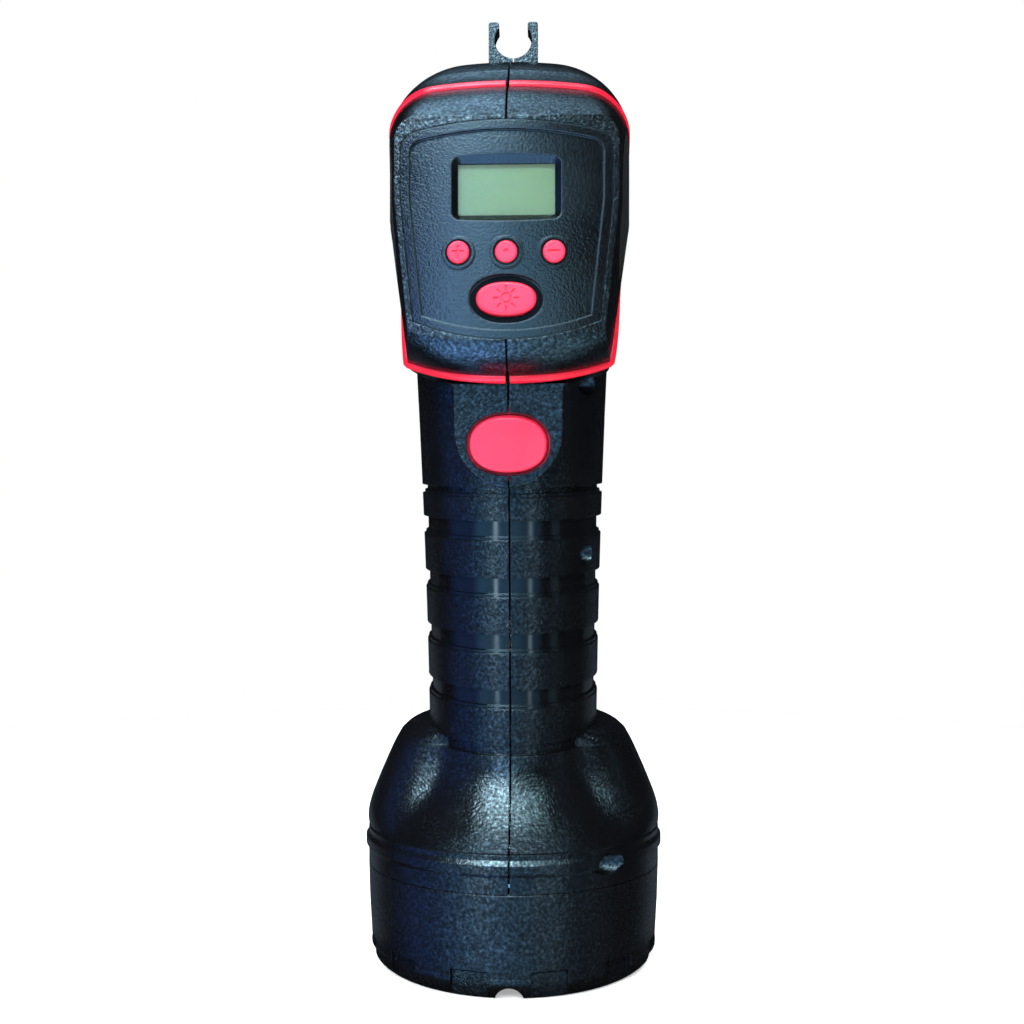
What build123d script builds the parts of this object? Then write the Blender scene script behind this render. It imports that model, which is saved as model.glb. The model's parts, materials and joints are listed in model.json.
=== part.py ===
from build123d import *

import os
from math import cos, pi, radians, sin, sqrt

# Digital timing light, standing upright on its lens rim, in millimetres.
# The origin is the centre of the lens rim. +Z runs up to the head and hook, and -Y is the side
# with the control panel and the thumb button. The housing splits at x = 0 into two half shells.

os.makedirs("parts", exist_ok=True)

# ---------------------------------------------------------------- driving dimensions
WALL = 2.2
SKIN = 1.2  # depth of the seats cut in the outer skin for trim and plates
FIT = 0.1  # clearance beside a piece that only has to drop in
SEAM_GAP = 0.4  # shadow gap between the half shells

# Lens end
RIM_BORE = 33.5
BOOT_TOP = 26.0
BOOT_TOP_RADIUS = 39.3
BOOT_RIM_RADIUS = 36.6
LENS_SEAT = 7.0
LENS_FLANGE = 2.5
LENS_FLANGE_RADIUS = 35.4
LENS_RADIUS = 32.6
LENS_CROWN = 8.5
GASKET = 2.0
SPIGOT_LOW = LENS_SEAT + LENS_FLANGE + GASKET
SPIGOT_RADIUS = 36.1
SPIGOT_BORE = 33.1
REFLECTOR_LEDGE = 27.0
COLLAR_TOP = 35.5
COLLAR_RADIUS = 39.3
RIDGE_RADIUS = 40.0
FLARE_FOOT = 38.0

# Grip, in its own leaning frame: x across, v to the back, h up the axis
LEAN = 8.0
GRIP_HALF_DEPTH = 25.0
FLARE_TOP_H = 3.5
GROOVE_DEPTH = 1.1
GROOVE_PITCH = 14.1
BAND_HEIGHT = 9.25
FIRST_BAND_H = 6.2
BAND_COUNT = 5
TOP_GROOVE_H = 68.3
TOP_GROOVE_HEIGHT = 2.4
LIP_HEIGHT = 0.9
BOSS_RISE = 4.6

# Head, seen from the front
FACE_Y = -57.2
FACE_RADIUS = 130.0
PANEL_BACK_Y = -52.5
LEDGE_Y = -51.2
PANEL_HALF_WIDTH = 23.9
PANEL_FOOT = 21.0
PANEL_TOP = 203.9
PANEL_BOTTOM = 155.0
PANEL_FLANGE = 0.9  # the panel's edge reaches this far behind the housing
PANEL_RIM = 2.4
WAIST_Z = 187.0

grip_axis = Vector(0, -sin(radians(LEAN)), cos(radians(LEAN)))
grip_back = Vector(0, cos(radians(LEAN)), sin(radians(LEAN)))
grip_base = Vector(0, -1, 57)
grip_plane = Plane(origin=grip_base, x_dir=(1, 0, 0), z_dir=grip_axis)


def grip_point(x, v, h):
    """A point of the leaning grip frame in the part's own frame."""
    return Vector(x, 0, 0) + grip_base + grip_back * v + grip_axis * h


def front_plane(v):
    """A plane facing forward out of the grip, v behind its axis. Its y runs up the grip."""
    return Plane(origin=grip_point(0, v, 0), x_dir=(1, 0, 0), z_dir=-grip_back)


def panel_plane(y):
    """An upright plane facing forward at a given y, with x across and z up."""
    return Plane.XZ.offset(-y)


def side_plane(x):
    """An upright plane facing +X at a given x, with y to the back and z up."""
    return Plane.YZ.offset(x)


def save(builder, name):
    builder.part.label = name
    export_step(builder.part, f"parts/{name}.step")


# ---------------------------------------------------------------- outlines
def shield(half_width, foot, top, bottom, top_radius, bottom_radius):
    """The head's outline: crowned top, and sides that taper in below the waist.

    half_width is at the waist and foot is the half width at the lower corners.
    """
    shoulder_z = top - half_width**2 / 220
    foot_z = bottom + foot**2 / 100
    with BuildSketch() as outline:
        with BuildLine():
            ThreePointArc((-half_width, shoulder_z), (0, top), (half_width, shoulder_z))
            Polyline((half_width, shoulder_z), (half_width, WAIST_Z), (foot, foot_z))
            ThreePointArc((foot, foot_z), (0, bottom), (-foot, foot_z))
            Polyline((-foot, foot_z), (-half_width, WAIST_Z), (-half_width, shoulder_z))
        make_face()
        rows = outline.vertices().group_by(Axis.Y)
        fillet(rows[2], top_radius)
        fillet(rows[1], 60)
        fillet(rows[0], bottom_radius)
    return outline.sketch_local


def oval(half_width, half_height, centre=(0, 0), power=2.25):
    """A closed superellipse."""
    points = []
    for step in range(24):
        angle = 2 * pi * step / 24
        c, s = cos(angle), sin(angle)
        x = half_width * abs(c) ** (2 / power) * (1 if c > 0 else -1)
        y = half_height * abs(s) ** (2 / power) * (1 if s > 0 else -1)
        points.append((centre[0] + x, centre[1] + y))
    with BuildSketch() as outline:
        with BuildLine():
            Spline(*points, periodic=True)
        make_face()
    return outline.sketch_local


# ---------------------------------------------------------------- outer form, at any inset
HEAD_STATIONS = [
    # y, half width, foot, top, bottom, top corner radius, bottom corner radius
    (-57.2, 24.6, 21.8, 204.8, 154.2, 5, 7.5),
    (-51.0, 26.4, 23.0, 212.6, 149.4, 9, 9),
    (-44.0, 27.9, 23.7, 218.0, 147.5, 13, 9.5),
    (-37.5, 28.8, 24.2, 223.9, 147.1, 16, 9.5),
    (-28.0, 29.2, 24.4, 230.2, 147.4, 20, 10),
    (-18.0, 29.0, 24.2, 233.2, 148.5, 22, 11),
    (-4.0, 27.8, 23.0, 232.6, 150.0, 22, 12),
    (6.0, 24.8, 20.6, 228.2, 153.0, 19, 12),
    (12.0, 19.4, 16.4, 221.0, 158.0, 13, 12),
]
CREASE = 3  # the station where the head's front form meets its crown


def head_loft(stations, inset):
    with BuildPart() as piece:
        for y, half_width, foot, top, bottom, top_radius, bottom_radius in stations:
            with BuildSketch(panel_plane(y)):
                add(
                    shield(
                        half_width - inset,
                        foot - inset,
                        top - inset,
                        bottom + inset,
                        top_radius - 0.5 * inset,
                        bottom_radius - 0.5 * inset,
                    )
                )
        loft()
    return piece.part


def head_form(inset, front_y=None):
    """The head, grown inwards by inset. front_y cuts it off in front."""
    stations = list(HEAD_STATIONS)
    last = stations[-1]
    stations[-1] = (last[0] - max(inset, 0),) + last[1:]
    front = head_loft(stations[: CREASE + 1], inset)
    crown = head_loft(stations[CREASE:], inset)
    with BuildPart() as piece:
        add(front)
        add(crown)
        with BuildSketch(Plane.XY.offset(140)):
            with Locations((0, FACE_Y + FACE_RADIUS)):
                Circle(FACE_RADIUS + 0.1 - max(inset, 0))
        extrude(amount=100, mode=Mode.INTERSECT)
        if front_y is not None:
            split(bisect_by=panel_plane(front_y), keep=Keep.BOTTOM)
    return piece.part


GRIP_STATIONS = [(-4, 22.6), (55, 23.3), (112, 25.2)]


def grip_half_width(h):
    """Half width of the grip between its lower stations."""
    low, high = GRIP_STATIONS[0], GRIP_STATIONS[1]
    return low[1] + (high[1] - low[1]) * (h - low[0]) / (high[0] - low[0])


def grip_form(inset):
    with BuildPart() as piece:
        for h, half_width in GRIP_STATIONS:
            with BuildSketch(grip_plane.offset(h)):
                Ellipse(half_width - inset, GRIP_HALF_DEPTH - inset)
        loft()
    return piece.part


def bell_section(neck, shoulder, inset):
    """A closed section of the bell: the neck's ellipse in front and behind, the shoulders at the sides."""
    points = []
    for step in range(40):
        angle = 2 * pi * step / 40
        across, along = sin(angle), cos(angle)
        ellipse = neck[0] * neck[1] / sqrt((neck[1] * across) ** 2 + (neck[0] * along) ** 2)
        turned = min(max((abs(across) - sin(radians(42))) / (1 - sin(radians(42))), 0), 1)
        weight = turned * turned * (3 - 2 * turned)
        radius = ellipse + (shoulder - ellipse) * weight - inset
        points.append((radius * across, -radius * along))
    with BuildSketch() as outline:
        with BuildLine():
            Spline(*points, periodic=True)
        make_face()
    return outline.sketch_local


def bell_plane(share):
    """The bell's section planes lean more and more, from level at its foot to square with the grip."""
    tilt = radians(LEAN * share)
    top = grip_point(0, 0, FLARE_TOP_H)
    origin = Vector(0, top.Y * share, COLLAR_TOP + (top.Z - COLLAR_TOP) * share)
    return Plane(origin=origin, x_dir=(1, 0, 0), z_dir=(0, -sin(tilt), cos(tilt)))


SHOULDER_STATIONS = [(0, 39.0), (0.25, 38.9), (0.5, 36.6), (0.75, 33.9), (1, 30.7)]
CAP_STATIONS = [(3.5, 30.45), (5.2, 28.8), (6.5, 26.2), (7.4, 21.0)]


def bell_form(inset):
    with BuildPart() as piece:
        for share, shoulder in SHOULDER_STATIONS:
            flare = (1 - share) ** 1.7
            neck = (
                22.6 + (FLARE_FOOT - 22.6) * flare,
                GRIP_HALF_DEPTH + (FLARE_FOOT - GRIP_HALF_DEPTH) * flare,
            )
            with BuildSketch(bell_plane(share)):
                add(bell_section(neck, shoulder, inset))
        loft()
    return piece.part


def cap_form():
    """The rounded tops of the two shoulders, beside the grip's first groove."""
    neck = (22.6 - 1.6, GRIP_HALF_DEPTH - 1.6)
    with BuildPart() as piece:
        for h, shoulder in CAP_STATIONS:
            with BuildSketch(grip_plane.offset(h)):
                add(bell_section(neck, shoulder, 0))
        loft()
    return piece.part


# ---------------------------------------------------------------- outer solid
def grooved_grip():
    """The grip with its five bands. Each groove is a valley over a thin lower lip."""
    grooves = [(FLARE_TOP_H - 2, FIRST_BAND_H - FLARE_TOP_H + 2)]
    for number in range(BAND_COUNT - 1):
        low = FIRST_BAND_H + BAND_HEIGHT + number * GROOVE_PITCH
        grooves.append((low, GROOVE_PITCH - BAND_HEIGHT))
    grooves.append((TOP_GROOVE_H, TOP_GROOVE_HEIGHT))
    with BuildPart() as piece:
        add(grip_form(0))
        for low, height in grooves:
            half_width = grip_half_width(low)
            with BuildSketch(grip_plane.offset(low + LIP_HEIGHT)):
                Ellipse(half_width + 4, GRIP_HALF_DEPTH + 4)
                Ellipse(
                    half_width - GROOVE_DEPTH,
                    GRIP_HALF_DEPTH - GROOVE_DEPTH,
                    mode=Mode.SUBTRACT,
                )
            extrude(amount=height - LIP_HEIGHT, mode=Mode.SUBTRACT)
            with BuildSketch(grip_plane.offset(low)):
                Ellipse(half_width + 4, GRIP_HALF_DEPTH + 4)
                Ellipse(half_width - 0.45, GRIP_HALF_DEPTH - 0.45, mode=Mode.SUBTRACT)
            extrude(amount=LIP_HEIGHT, mode=Mode.SUBTRACT)
    return piece.part


BAND_RADIUS = 40.0  # the head's trim follows an arc seen from the side, bulging to the back
BAND_CENTRE = (-66.5, 182.2)
BAND_WIDTH = 2.7
TRIM_RISE = 0.8
TRIM_GAP = 0.3  # between the trim and the top of the boss
BOSS_CENTRE_H = 84.2
BOSS_RADIUS = 13.2


def boss_form():
    """The raised tongue under the head that carries the thumb button."""
    wide = BOSS_RADIUS + 3.4
    with BuildPart() as piece:
        with BuildSketch(front_plane(-GRIP_HALF_DEPTH - BOSS_RISE)):
            with Locations((0, BOSS_CENTRE_H)):
                Circle(BOSS_RADIUS)
            with BuildLine():
                Polyline(
                    (BOSS_RADIUS, BOSS_CENTRE_H),
                    (BOSS_RADIUS, 94.5),
                    (wide, 99),
                    (wide, 104),
                    (-wide, 104),
                    (-wide, 99),
                    (-BOSS_RADIUS, 94.5),
                    (-BOSS_RADIUS, BOSS_CENTRE_H),
                    close=True,
                )
            make_face()
        extrude(amount=-18)
        fillet(piece.faces().sort_by(Axis.Y)[0].edges(), 0.7)
        # The head's trim runs past in front, so the boss ends just below it.
        with BuildSketch(side_plane(-BOSS_RADIUS * 2)):
            with Locations(BAND_CENTRE):
                Circle(BAND_RADIUS + BAND_WIDTH / 2 + TRIM_GAP)
        extrude(amount=BOSS_RADIUS * 4, mode=Mode.SUBTRACT)
    return piece.part


HOOK_Z = 248.2
HOOK_BORE = 5.05
HOOK_HALF_WIDTH = 6.7
HOOK_TOP = 253.0
HOOK_DEPTH = 5.0


def hook_form():
    """The open hook on the crown: a ring broken at the top."""
    with BuildPart() as piece:
        with BuildSketch(panel_plane(HOOK_DEPTH / 2)):
            with Locations((0, (228 + HOOK_TOP) / 2)):
                Rectangle(2 * HOOK_HALF_WIDTH, HOOK_TOP - 228)
            with Locations((0, HOOK_Z)):
                Circle(HOOK_BORE, mode=Mode.SUBTRACT)
            with Locations((0, HOOK_Z + 6)):
                Rectangle(7.8, 12, mode=Mode.SUBTRACT)
        extrude(amount=HOOK_DEPTH)
        tips = piece.edges().filter_by(Axis.Y).group_by(Axis.Z)[-1]
        fillet(tips, 0.7)
    return piece.part


def collar_form():
    """The collar over the boot, with its ridge, and the spigot that the boot slides onto."""
    with BuildPart() as piece:
        with BuildSketch(Plane.XZ):
            with BuildLine():
                Polyline(
                    (0, SPIGOT_LOW),
                    (SPIGOT_RADIUS, SPIGOT_LOW),
                    (SPIGOT_RADIUS, BOOT_TOP),
                    (COLLAR_RADIUS, BOOT_TOP),
                    (COLLAR_RADIUS, 30.0),
                    (RIDGE_RADIUS, 31.0),
                    (RIDGE_RADIUS, 33.0),
                    (COLLAR_RADIUS, 34.2),
                    (COLLAR_RADIUS, COLLAR_TOP),
                    (0, COLLAR_TOP),
                    close=True,
                )
            make_face()
        revolve(axis=Axis.Z)
    return piece.part


head_outer = head_form(0)
with BuildPart() as outer:
    add(collar_form())
    add(bell_form(0))
    add(grooved_grip())
    add(cap_form())
    add(head_outer)
    add(boss_form())
    add(hook_form())

with BuildPart() as cavity:
    with BuildSketch(Plane.XY.offset(SPIGOT_LOW - 1)):
        Circle(SPIGOT_BORE)
    extrude(amount=REFLECTOR_LEDGE - SPIGOT_LOW + 1)
    with BuildSketch(Plane.XY.offset(REFLECTOR_LEDGE)):
        Circle(COLLAR_RADIUS - WALL - 0.5)
    extrude(amount=COLLAR_TOP - REFLECTOR_LEDGE)
    add(bell_form(WALL + 0.3))
    add(grip_form(WALL))
    add(head_form(WALL, LEDGE_Y))

# ---------------------------------------------------------------- head trim and side plates
PLATE_CENTRE = (-43.0, 189.0)
PLATE_HALF = (8.5, 17.2)
PLATE_SINK = 0.15

head_core = head_form(SKIN)


def band_form(width):
    """The curved slab that the trim lies in."""
    with BuildPart() as piece:
        with BuildSketch(side_plane(-40)):
            with Locations(BAND_CENTRE):
                Circle(BAND_RADIUS + width / 2)
                Circle(BAND_RADIUS - width / 2, mode=Mode.SUBTRACT)
        extrude(amount=80)
    return piece.part


def plate_form(grow):
    """The oval column, across the head, that the two side plates are cut from."""
    with BuildPart() as piece:
        with BuildSketch(side_plane(-40)):
            with Locations(PLATE_CENTRE):
                Ellipse(PLATE_HALF[0] + grow, PLATE_HALF[1] + grow)
        extrude(amount=80)
    return piece.part


def skin_piece(rise, column):
    """What a column keeps of the head's skin, from the seat's floor to rise above the surface."""
    with BuildPart() as piece:
        add(head_form(-rise))
        add(head_core, mode=Mode.SUBTRACT)
        add(column, mode=Mode.INTERSECT)
    return piece.part


def half(part, side, name):
    """One side of a piece that is split at the seam: side is 1 for right and -1 for left."""
    with BuildPart() as piece:
        add(part)
        split(
            bisect_by=Plane.YZ.offset(side * SEAM_GAP / 2),
            keep=Keep.TOP if side > 0 else Keep.BOTTOM,
        )
    save(piece, name)


trim_ring = skin_piece(TRIM_RISE, band_form(BAND_WIDTH))
side_plates = skin_piece(-PLATE_SINK, plate_form(0))
for side, prefix in ((1, "right"), (-1, "left")):
    half(trim_ring, side, f"{prefix}_trim")
    half(side_plates, side, f"{prefix}_side_plate")

# ---------------------------------------------------------------- housing
THUMB_H = 81.3
THUMB_HOLE = (9.95, 7.45)
THUMB_POCKET = (11.8, 9.3)
BOSS_FACE_V = -GRIP_HALF_DEPTH - BOSS_RISE
BOSS_WALL = 2.5
SOCKET_Z = 205.0
SOCKET_RADIUS = 8.0
BACK_Y = 12.0

POST_RADIUS = 3.5
POST_BORE = 1.6
PILOT_RADIUS = 1.32
COUNTERBORE_RADIUS = 2.6
SCREW_SEAT_X = 9.0
SCREW_HEAD_RADIUS = 2.4
SCREW_HEAD_HEIGHT = 1.9
SCREW_SHANK_RADIUS = 1.3
SCREW_TIP_X = -8.5
SCREW_REACH = 40

screw_places = [(-31, 31.5), (31, 31.5), (-12, 222), (2, 176)]
for v, h in ((-14, 53.3), (15, 32), (-15.5, 95.5), (15.5, 84)):
    place = grip_point(0, v, h)
    screw_places.append((place.Y, place.Z))

BOARD_HALF_THICK = 0.8
BOARD_HALF_WIDTH = 19.6
BOARD_LOW_H = 18.0
BOARD_HIGH_H = 88.0
SWITCH_BOARD_V = -20.2
SWITCH_BOARD_THICK = 1.6
HOLDER_RADIUS = 10.0
HOLDER_RIB_LOW = 57.5
HOLDER_RIB_HIGH = 59.5

with BuildPart() as ribs:
    # Slots for the power board's edges, and a shelf behind the switch board.
    for low in (-2.1, 0.9):
        with BuildSketch(front_plane(low)):
            with Locations((-21, 53), (21, 53)):
                Rectangle(7.2, 66)
        extrude(amount=-1.2)
    with BuildSketch(front_plane(SWITCH_BOARD_V + SWITCH_BOARD_THICK)):
        with Locations((-10, THUMB_H), (10, THUMB_H)):
            Rectangle(5, 14)
    extrude(amount=-1.2)
    # A web with a round opening for the tube holder.
    with BuildSketch(Plane.XY.offset(HOLDER_RIB_LOW)):
        Circle(30)
        Circle(HOLDER_RADIUS + 0.05, mode=Mode.SUBTRACT)
    extrude(amount=HOLDER_RIB_HIGH - HOLDER_RIB_LOW)
    add(outer.part, mode=Mode.INTERSECT)


def panel_outline(grow, top_radius, bottom_radius):
    """The control panel's outline, grown outwards."""
    return shield(
        PANEL_HALF_WIDTH + grow,
        PANEL_FOOT + grow,
        PANEL_TOP + grow,
        PANEL_BOTTOM - grow,
        top_radius,
        bottom_radius,
    )


with BuildPart() as housing:
    add(outer.part)
    add(cavity.part, mode=Mode.SUBTRACT)
    add(ribs.part)
    # Panel opening, and the wider seat behind its edge.
    with BuildSketch(panel_plane(LEDGE_Y)):
        add(panel_outline(FIT, 4, 7))
    extrude(amount=9, mode=Mode.SUBTRACT)
    with BuildSketch(panel_plane(LEDGE_Y + 1.8)):
        add(panel_outline(PANEL_FLANGE + 0.2, 5, 8))
    extrude(amount=1.8, mode=Mode.SUBTRACT)
    # Thumb button: opening in the boss, and the pocket behind it.
    with BuildSketch(front_plane(BOSS_FACE_V + BOSS_WALL)):
        with Locations((0, THUMB_H)):
            add(oval(*THUMB_HOLE))
    extrude(amount=4, mode=Mode.SUBTRACT)
    with BuildSketch(front_plane(BOSS_FACE_V + BOSS_WALL)):
        with Locations((0, THUMB_H)):
            add(oval(*THUMB_POCKET))
    extrude(amount=-8.6, mode=Mode.SUBTRACT)
    # Seats in the skin of the head.
    add(skin_piece(TRIM_RISE + FIT, band_form(BAND_WIDTH + FIT)), mode=Mode.SUBTRACT)
    add(skin_piece(FIT, plate_form(0.15)), mode=Mode.SUBTRACT)
    # Lead socket, in the back of the head.
    with BuildSketch(panel_plane(BACK_Y + 2)):
        with Locations((0, SOCKET_Z)):
            Circle(SOCKET_RADIUS + 0.05)
    extrude(amount=8, mode=Mode.SUBTRACT)

for side, prefix in ((1, "right"), (-1, "left")):
    with BuildPart() as posts:
        with BuildSketch(side_plane(0)):
            with Locations(*screw_places):
                Circle(POST_RADIUS)
        extrude(amount=side * SCREW_REACH)
        add(outer.part, mode=Mode.INTERSECT)
    with BuildPart() as shell:
        add(housing.part)
        split(
            bisect_by=Plane.YZ.offset(side * SEAM_GAP / 2),
            keep=Keep.TOP if side > 0 else Keep.BOTTOM,
        )
        add(posts.part)
        if side > 0:
            with BuildSketch(side_plane(0)):
                with Locations(*screw_places):
                    Circle(POST_BORE)
            extrude(amount=SCREW_REACH, mode=Mode.SUBTRACT)
            with BuildSketch(side_plane(SCREW_SEAT_X)):
                with Locations(*screw_places):
                    Circle(COUNTERBORE_RADIUS)
            extrude(amount=SCREW_REACH, mode=Mode.SUBTRACT)
        else:
            with BuildSketch(side_plane(0)):
                with Locations(*screw_places):
                    Circle(PILOT_RADIUS)
            extrude(amount=SCREW_TIP_X - 0.5, mode=Mode.SUBTRACT)
    save(shell, f"{prefix}_housing")

with BuildPart() as housing_screws:
    with BuildSketch(side_plane(SCREW_SEAT_X)):
        with Locations(*screw_places):
            Circle(SCREW_HEAD_RADIUS)
            Circle(0.9, mode=Mode.SUBTRACT)
    extrude(amount=SCREW_HEAD_HEIGHT)
    with BuildSketch(side_plane(SCREW_TIP_X)):
        with Locations(*screw_places):
            Circle(SCREW_SHANK_RADIUS)
    extrude(amount=SCREW_SEAT_X - SCREW_TIP_X + 0.6)
save(housing_screws, "housing_screws")

# ---------------------------------------------------------------- lens end
POCKET_COUNT = 12
POCKET_WIDTH = 9.3
POCKET_TOP = 7.4
POCKET_FLOOR_RADIUS = 36.7
NOTCH_RADIUS = 3.4

with BuildPart() as lens_boot:
    with BuildSketch(Plane.XZ):
        with BuildLine():
            ThreePointArc((35.6, 0), (37.5, 1.5), (38.4, 5.5))
            Polyline(
                (38.4, 5.5),
                (39.0, 16),
                (BOOT_TOP_RADIUS, BOOT_TOP - 0.3),
                (BOOT_TOP_RADIUS - 0.3, BOOT_TOP),
                (SPIGOT_RADIUS + FIT, BOOT_TOP),
                (SPIGOT_RADIUS + FIT, LENS_SEAT),
                (RIM_BORE, LENS_SEAT),
                (RIM_BORE, 0),
                (35.6, 0),
            )
        make_face()
    revolve(axis=Axis.Z)
    for number in range(POCKET_COUNT):
        turn = -90 + (number + 0.5) * 360 / POCKET_COUNT
        radial = Vector(cos(radians(turn)), sin(radians(turn)), 0)
        across = Vector(-radial.Y, radial.X, 0)
        with BuildSketch(Plane(origin=(0, 0, 0), x_dir=radial, z_dir=across)):
            with BuildLine():
                Polyline(
                    (POCKET_FLOOR_RADIUS, 1),
                    (POCKET_FLOOR_RADIUS, 1 - POCKET_TOP),
                    (POCKET_FLOOR_RADIUS + 4, -POCKET_TOP - 0.8),
                    (POCKET_FLOOR_RADIUS + 4, 1),
                    close=True,
                )
            make_face()
        extrude(amount=POCKET_WIDTH / 2, both=True, mode=Mode.SUBTRACT)
    with BuildSketch(panel_plane(-30)):
        Circle(NOTCH_RADIUS)
    extrude(amount=12, mode=Mode.SUBTRACT)
save(lens_boot, "lens_boot")

with BuildPart() as lens:
    with BuildSketch(Plane.XY.offset(LENS_SEAT)):
        Circle(LENS_FLANGE_RADIUS)
    extrude(amount=LENS_FLANGE)
    with BuildSketch(Plane.XY.offset(LENS_SEAT)):
        Circle(LENS_RADIUS)
    extrude(amount=LENS_FLANGE + LENS_CROWN)
    # The crown is a spherical cap over the flange.
    ball_radius = (LENS_RADIUS**2 + LENS_CROWN**2) / (2 * LENS_CROWN)
    with Locations((0, 0, LENS_SEAT + LENS_FLANGE + LENS_CROWN - ball_radius)):
        Sphere(ball_radius, mode=Mode.INTERSECT)
save(lens, "lens")

with BuildPart() as lens_gasket:
    with BuildSketch(Plane.XY.offset(LENS_SEAT + LENS_FLANGE)):
        Circle(36.0)
        Circle(33.3, mode=Mode.SUBTRACT)
    extrude(amount=GASKET)
save(lens_gasket, "lens_gasket")

REFLECTOR_MOUTH = 26.0
REFLECTOR_APEX = 57.0
REFLECTOR_THICK = 0.8
REFLECTOR_NECK = 7.5


def parabola(radius):
    """Height of the reflecting surface at a radius."""
    rise = REFLECTOR_APEX - REFLECTOR_LEDGE
    return REFLECTOR_APEX - rise * (radius / REFLECTOR_MOUTH) ** 2


with BuildPart() as reflector:
    with BuildSketch(Plane.XZ):
        with BuildLine():
            curve = Spline(
                *[(r, parabola(r)) for r in (REFLECTOR_NECK, 11, 15, 19, 23, REFLECTOR_MOUTH)]
            )
            back = Spline(
                *[
                    (r + REFLECTOR_THICK, parabola(r))
                    for r in (REFLECTOR_NECK, 11, 15, 19, 23, 25.65)
                ]
            )
            Polyline(
                curve @ 1,
                (COLLAR_RADIUS - WALL - 0.7, REFLECTOR_LEDGE),
                (COLLAR_RADIUS - WALL - 0.7, (back @ 1).Y),
                back @ 1,
            )
            Line(curve @ 0, back @ 0)
        make_face()
    revolve(axis=Axis.Z)
save(reflector, "reflector")

TUBE_RADIUS = 2.0
TUBE_SPREAD = 4.0
TUBE_BEND_Z = 44.0
HOLDER_LOW = parabola(REFLECTOR_NECK)
HOLDER_HIGH = 61.4
TUBE_TOP = 60.0

with BuildPart() as xenon_tube:
    with BuildSketch(Plane.XY.offset(TUBE_BEND_Z)):
        with Locations((-TUBE_SPREAD, 0), (TUBE_SPREAD, 0)):
            Circle(TUBE_RADIUS)
    extrude(amount=TUBE_TOP - TUBE_BEND_Z)
    with BuildSketch(Plane.XY.offset(TUBE_BEND_Z)):
        with Locations((TUBE_SPREAD, 0)):
            Circle(TUBE_RADIUS)
    revolve(axis=Axis((0, 0, TUBE_BEND_Z), (0, 1, 0)), revolution_arc=180)
save(xenon_tube, "xenon_tube")

with BuildPart() as tube_caps:
    with BuildSketch(Plane.XY.offset(TUBE_TOP)):
        with Locations((-TUBE_SPREAD, 0), (TUBE_SPREAD, 0)):
            Circle(TUBE_RADIUS)
    extrude(amount=2.6)
save(tube_caps, "tube_caps")

with BuildPart() as tube_holder:
    with BuildSketch(Plane.XY.offset(HOLDER_LOW)):
        Circle(HOLDER_RADIUS)
    extrude(amount=HOLDER_HIGH - HOLDER_LOW)
    with BuildSketch(Plane.XY.offset(HOLDER_RIB_HIGH)):
        Circle(12)
    extrude(amount=1.2)
    with BuildSketch(Plane.XY.offset(HOLDER_LOW)):
        with Locations((-TUBE_SPREAD, 0), (TUBE_SPREAD, 0)):
            Circle(TUBE_RADIUS + 0.05)
    extrude(amount=HOLDER_HIGH - HOLDER_LOW, mode=Mode.SUBTRACT)
save(tube_holder, "tube_holder")

TRIGGER_WIRE_RADIUS = 0.3
with BuildPart() as trigger_wire:
    loop = TUBE_RADIUS + TRIGGER_WIRE_RADIUS
    for z in (47.0, 49.0, 51.0):
        with BuildSketch(Plane.XY.offset(z - TRIGGER_WIRE_RADIUS)):
            SlotCenterToCenter(2 * TUBE_SPREAD, 2 * (loop + TRIGGER_WIRE_RADIUS))
            SlotCenterToCenter(
                2 * TUBE_SPREAD, 2 * (loop - TRIGGER_WIRE_RADIUS), mode=Mode.SUBTRACT
            )
        extrude(amount=2 * TRIGGER_WIRE_RADIUS)
    with BuildSketch(Plane.XY.offset(47)):
        with Locations((0, loop)):
            Circle(TRIGGER_WIRE_RADIUS)
    extrude(amount=HOLDER_LOW - 47)
save(trigger_wire, "trigger_wire")

# ---------------------------------------------------------------- control panel
BORDER = 2.0
BORDER_RISE = 0.8
LCD_CENTRE = (0, 189.1)
LCD_OPENING = (21.8, 11.4)
LCD_BEVEL = (26.5, 15.6)
LCD_GLASS = (23.6, 13.8)
WINDOW_FRONT_Y = -54.4
WINDOW_THICK = 1.0
LCD_THICK = 2.5
KEY_Z = 174.5
KEY_SPACING = 10.7
KEY_RADIUS = 2.5
KEY_HOLE_RADIUS = 2.65
KEY_RING_RADIUS = 3.65
KEY_RING_RISE = 0.6
KEY_FLANGE = 3.4
KEY_TRAVEL = 0.8
FLANGE_THICK = 0.8
LIGHT_KEY_CENTRE = (0, 164.2)
LIGHT_KEY_HALF = (6.75, 3.8)
LIGHT_RECESS_HALF = (8.4, 5.5)
BOARD_Y = -47.3  # front face of the display board
BOARD_THICK = 1.6
BOARD_POSTS = [(-16.2, 196.0), (16.2, 196.0), (-14.8, 161.5), (14.8, 161.5)]
BOARD_POST_RADIUS = 2.2
key_places = [(-KEY_SPACING, KEY_Z), (0, KEY_Z), (KEY_SPACING, KEY_Z)]
inner_face_y = FACE_Y + BORDER_RISE


def face_column(sink):
    """An upright cylinder whose front follows the panel's crowned face, sunk below it."""
    with BuildPart() as piece:
        with BuildSketch(Plane.XY.offset(150)):
            with Locations((0, FACE_Y + FACE_RADIUS)):
                Circle(FACE_RADIUS - sink)
        extrude(amount=60)
    return piece.part


with BuildPart() as field:
    # What lies in front of the sunk face, inside the border.
    with BuildSketch(panel_plane(PANEL_BACK_Y - 1)):
        add(panel_outline(-BORDER, 3, 5.5))
    extrude(amount=8)
    add(face_column(BORDER_RISE), mode=Mode.SUBTRACT)

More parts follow.
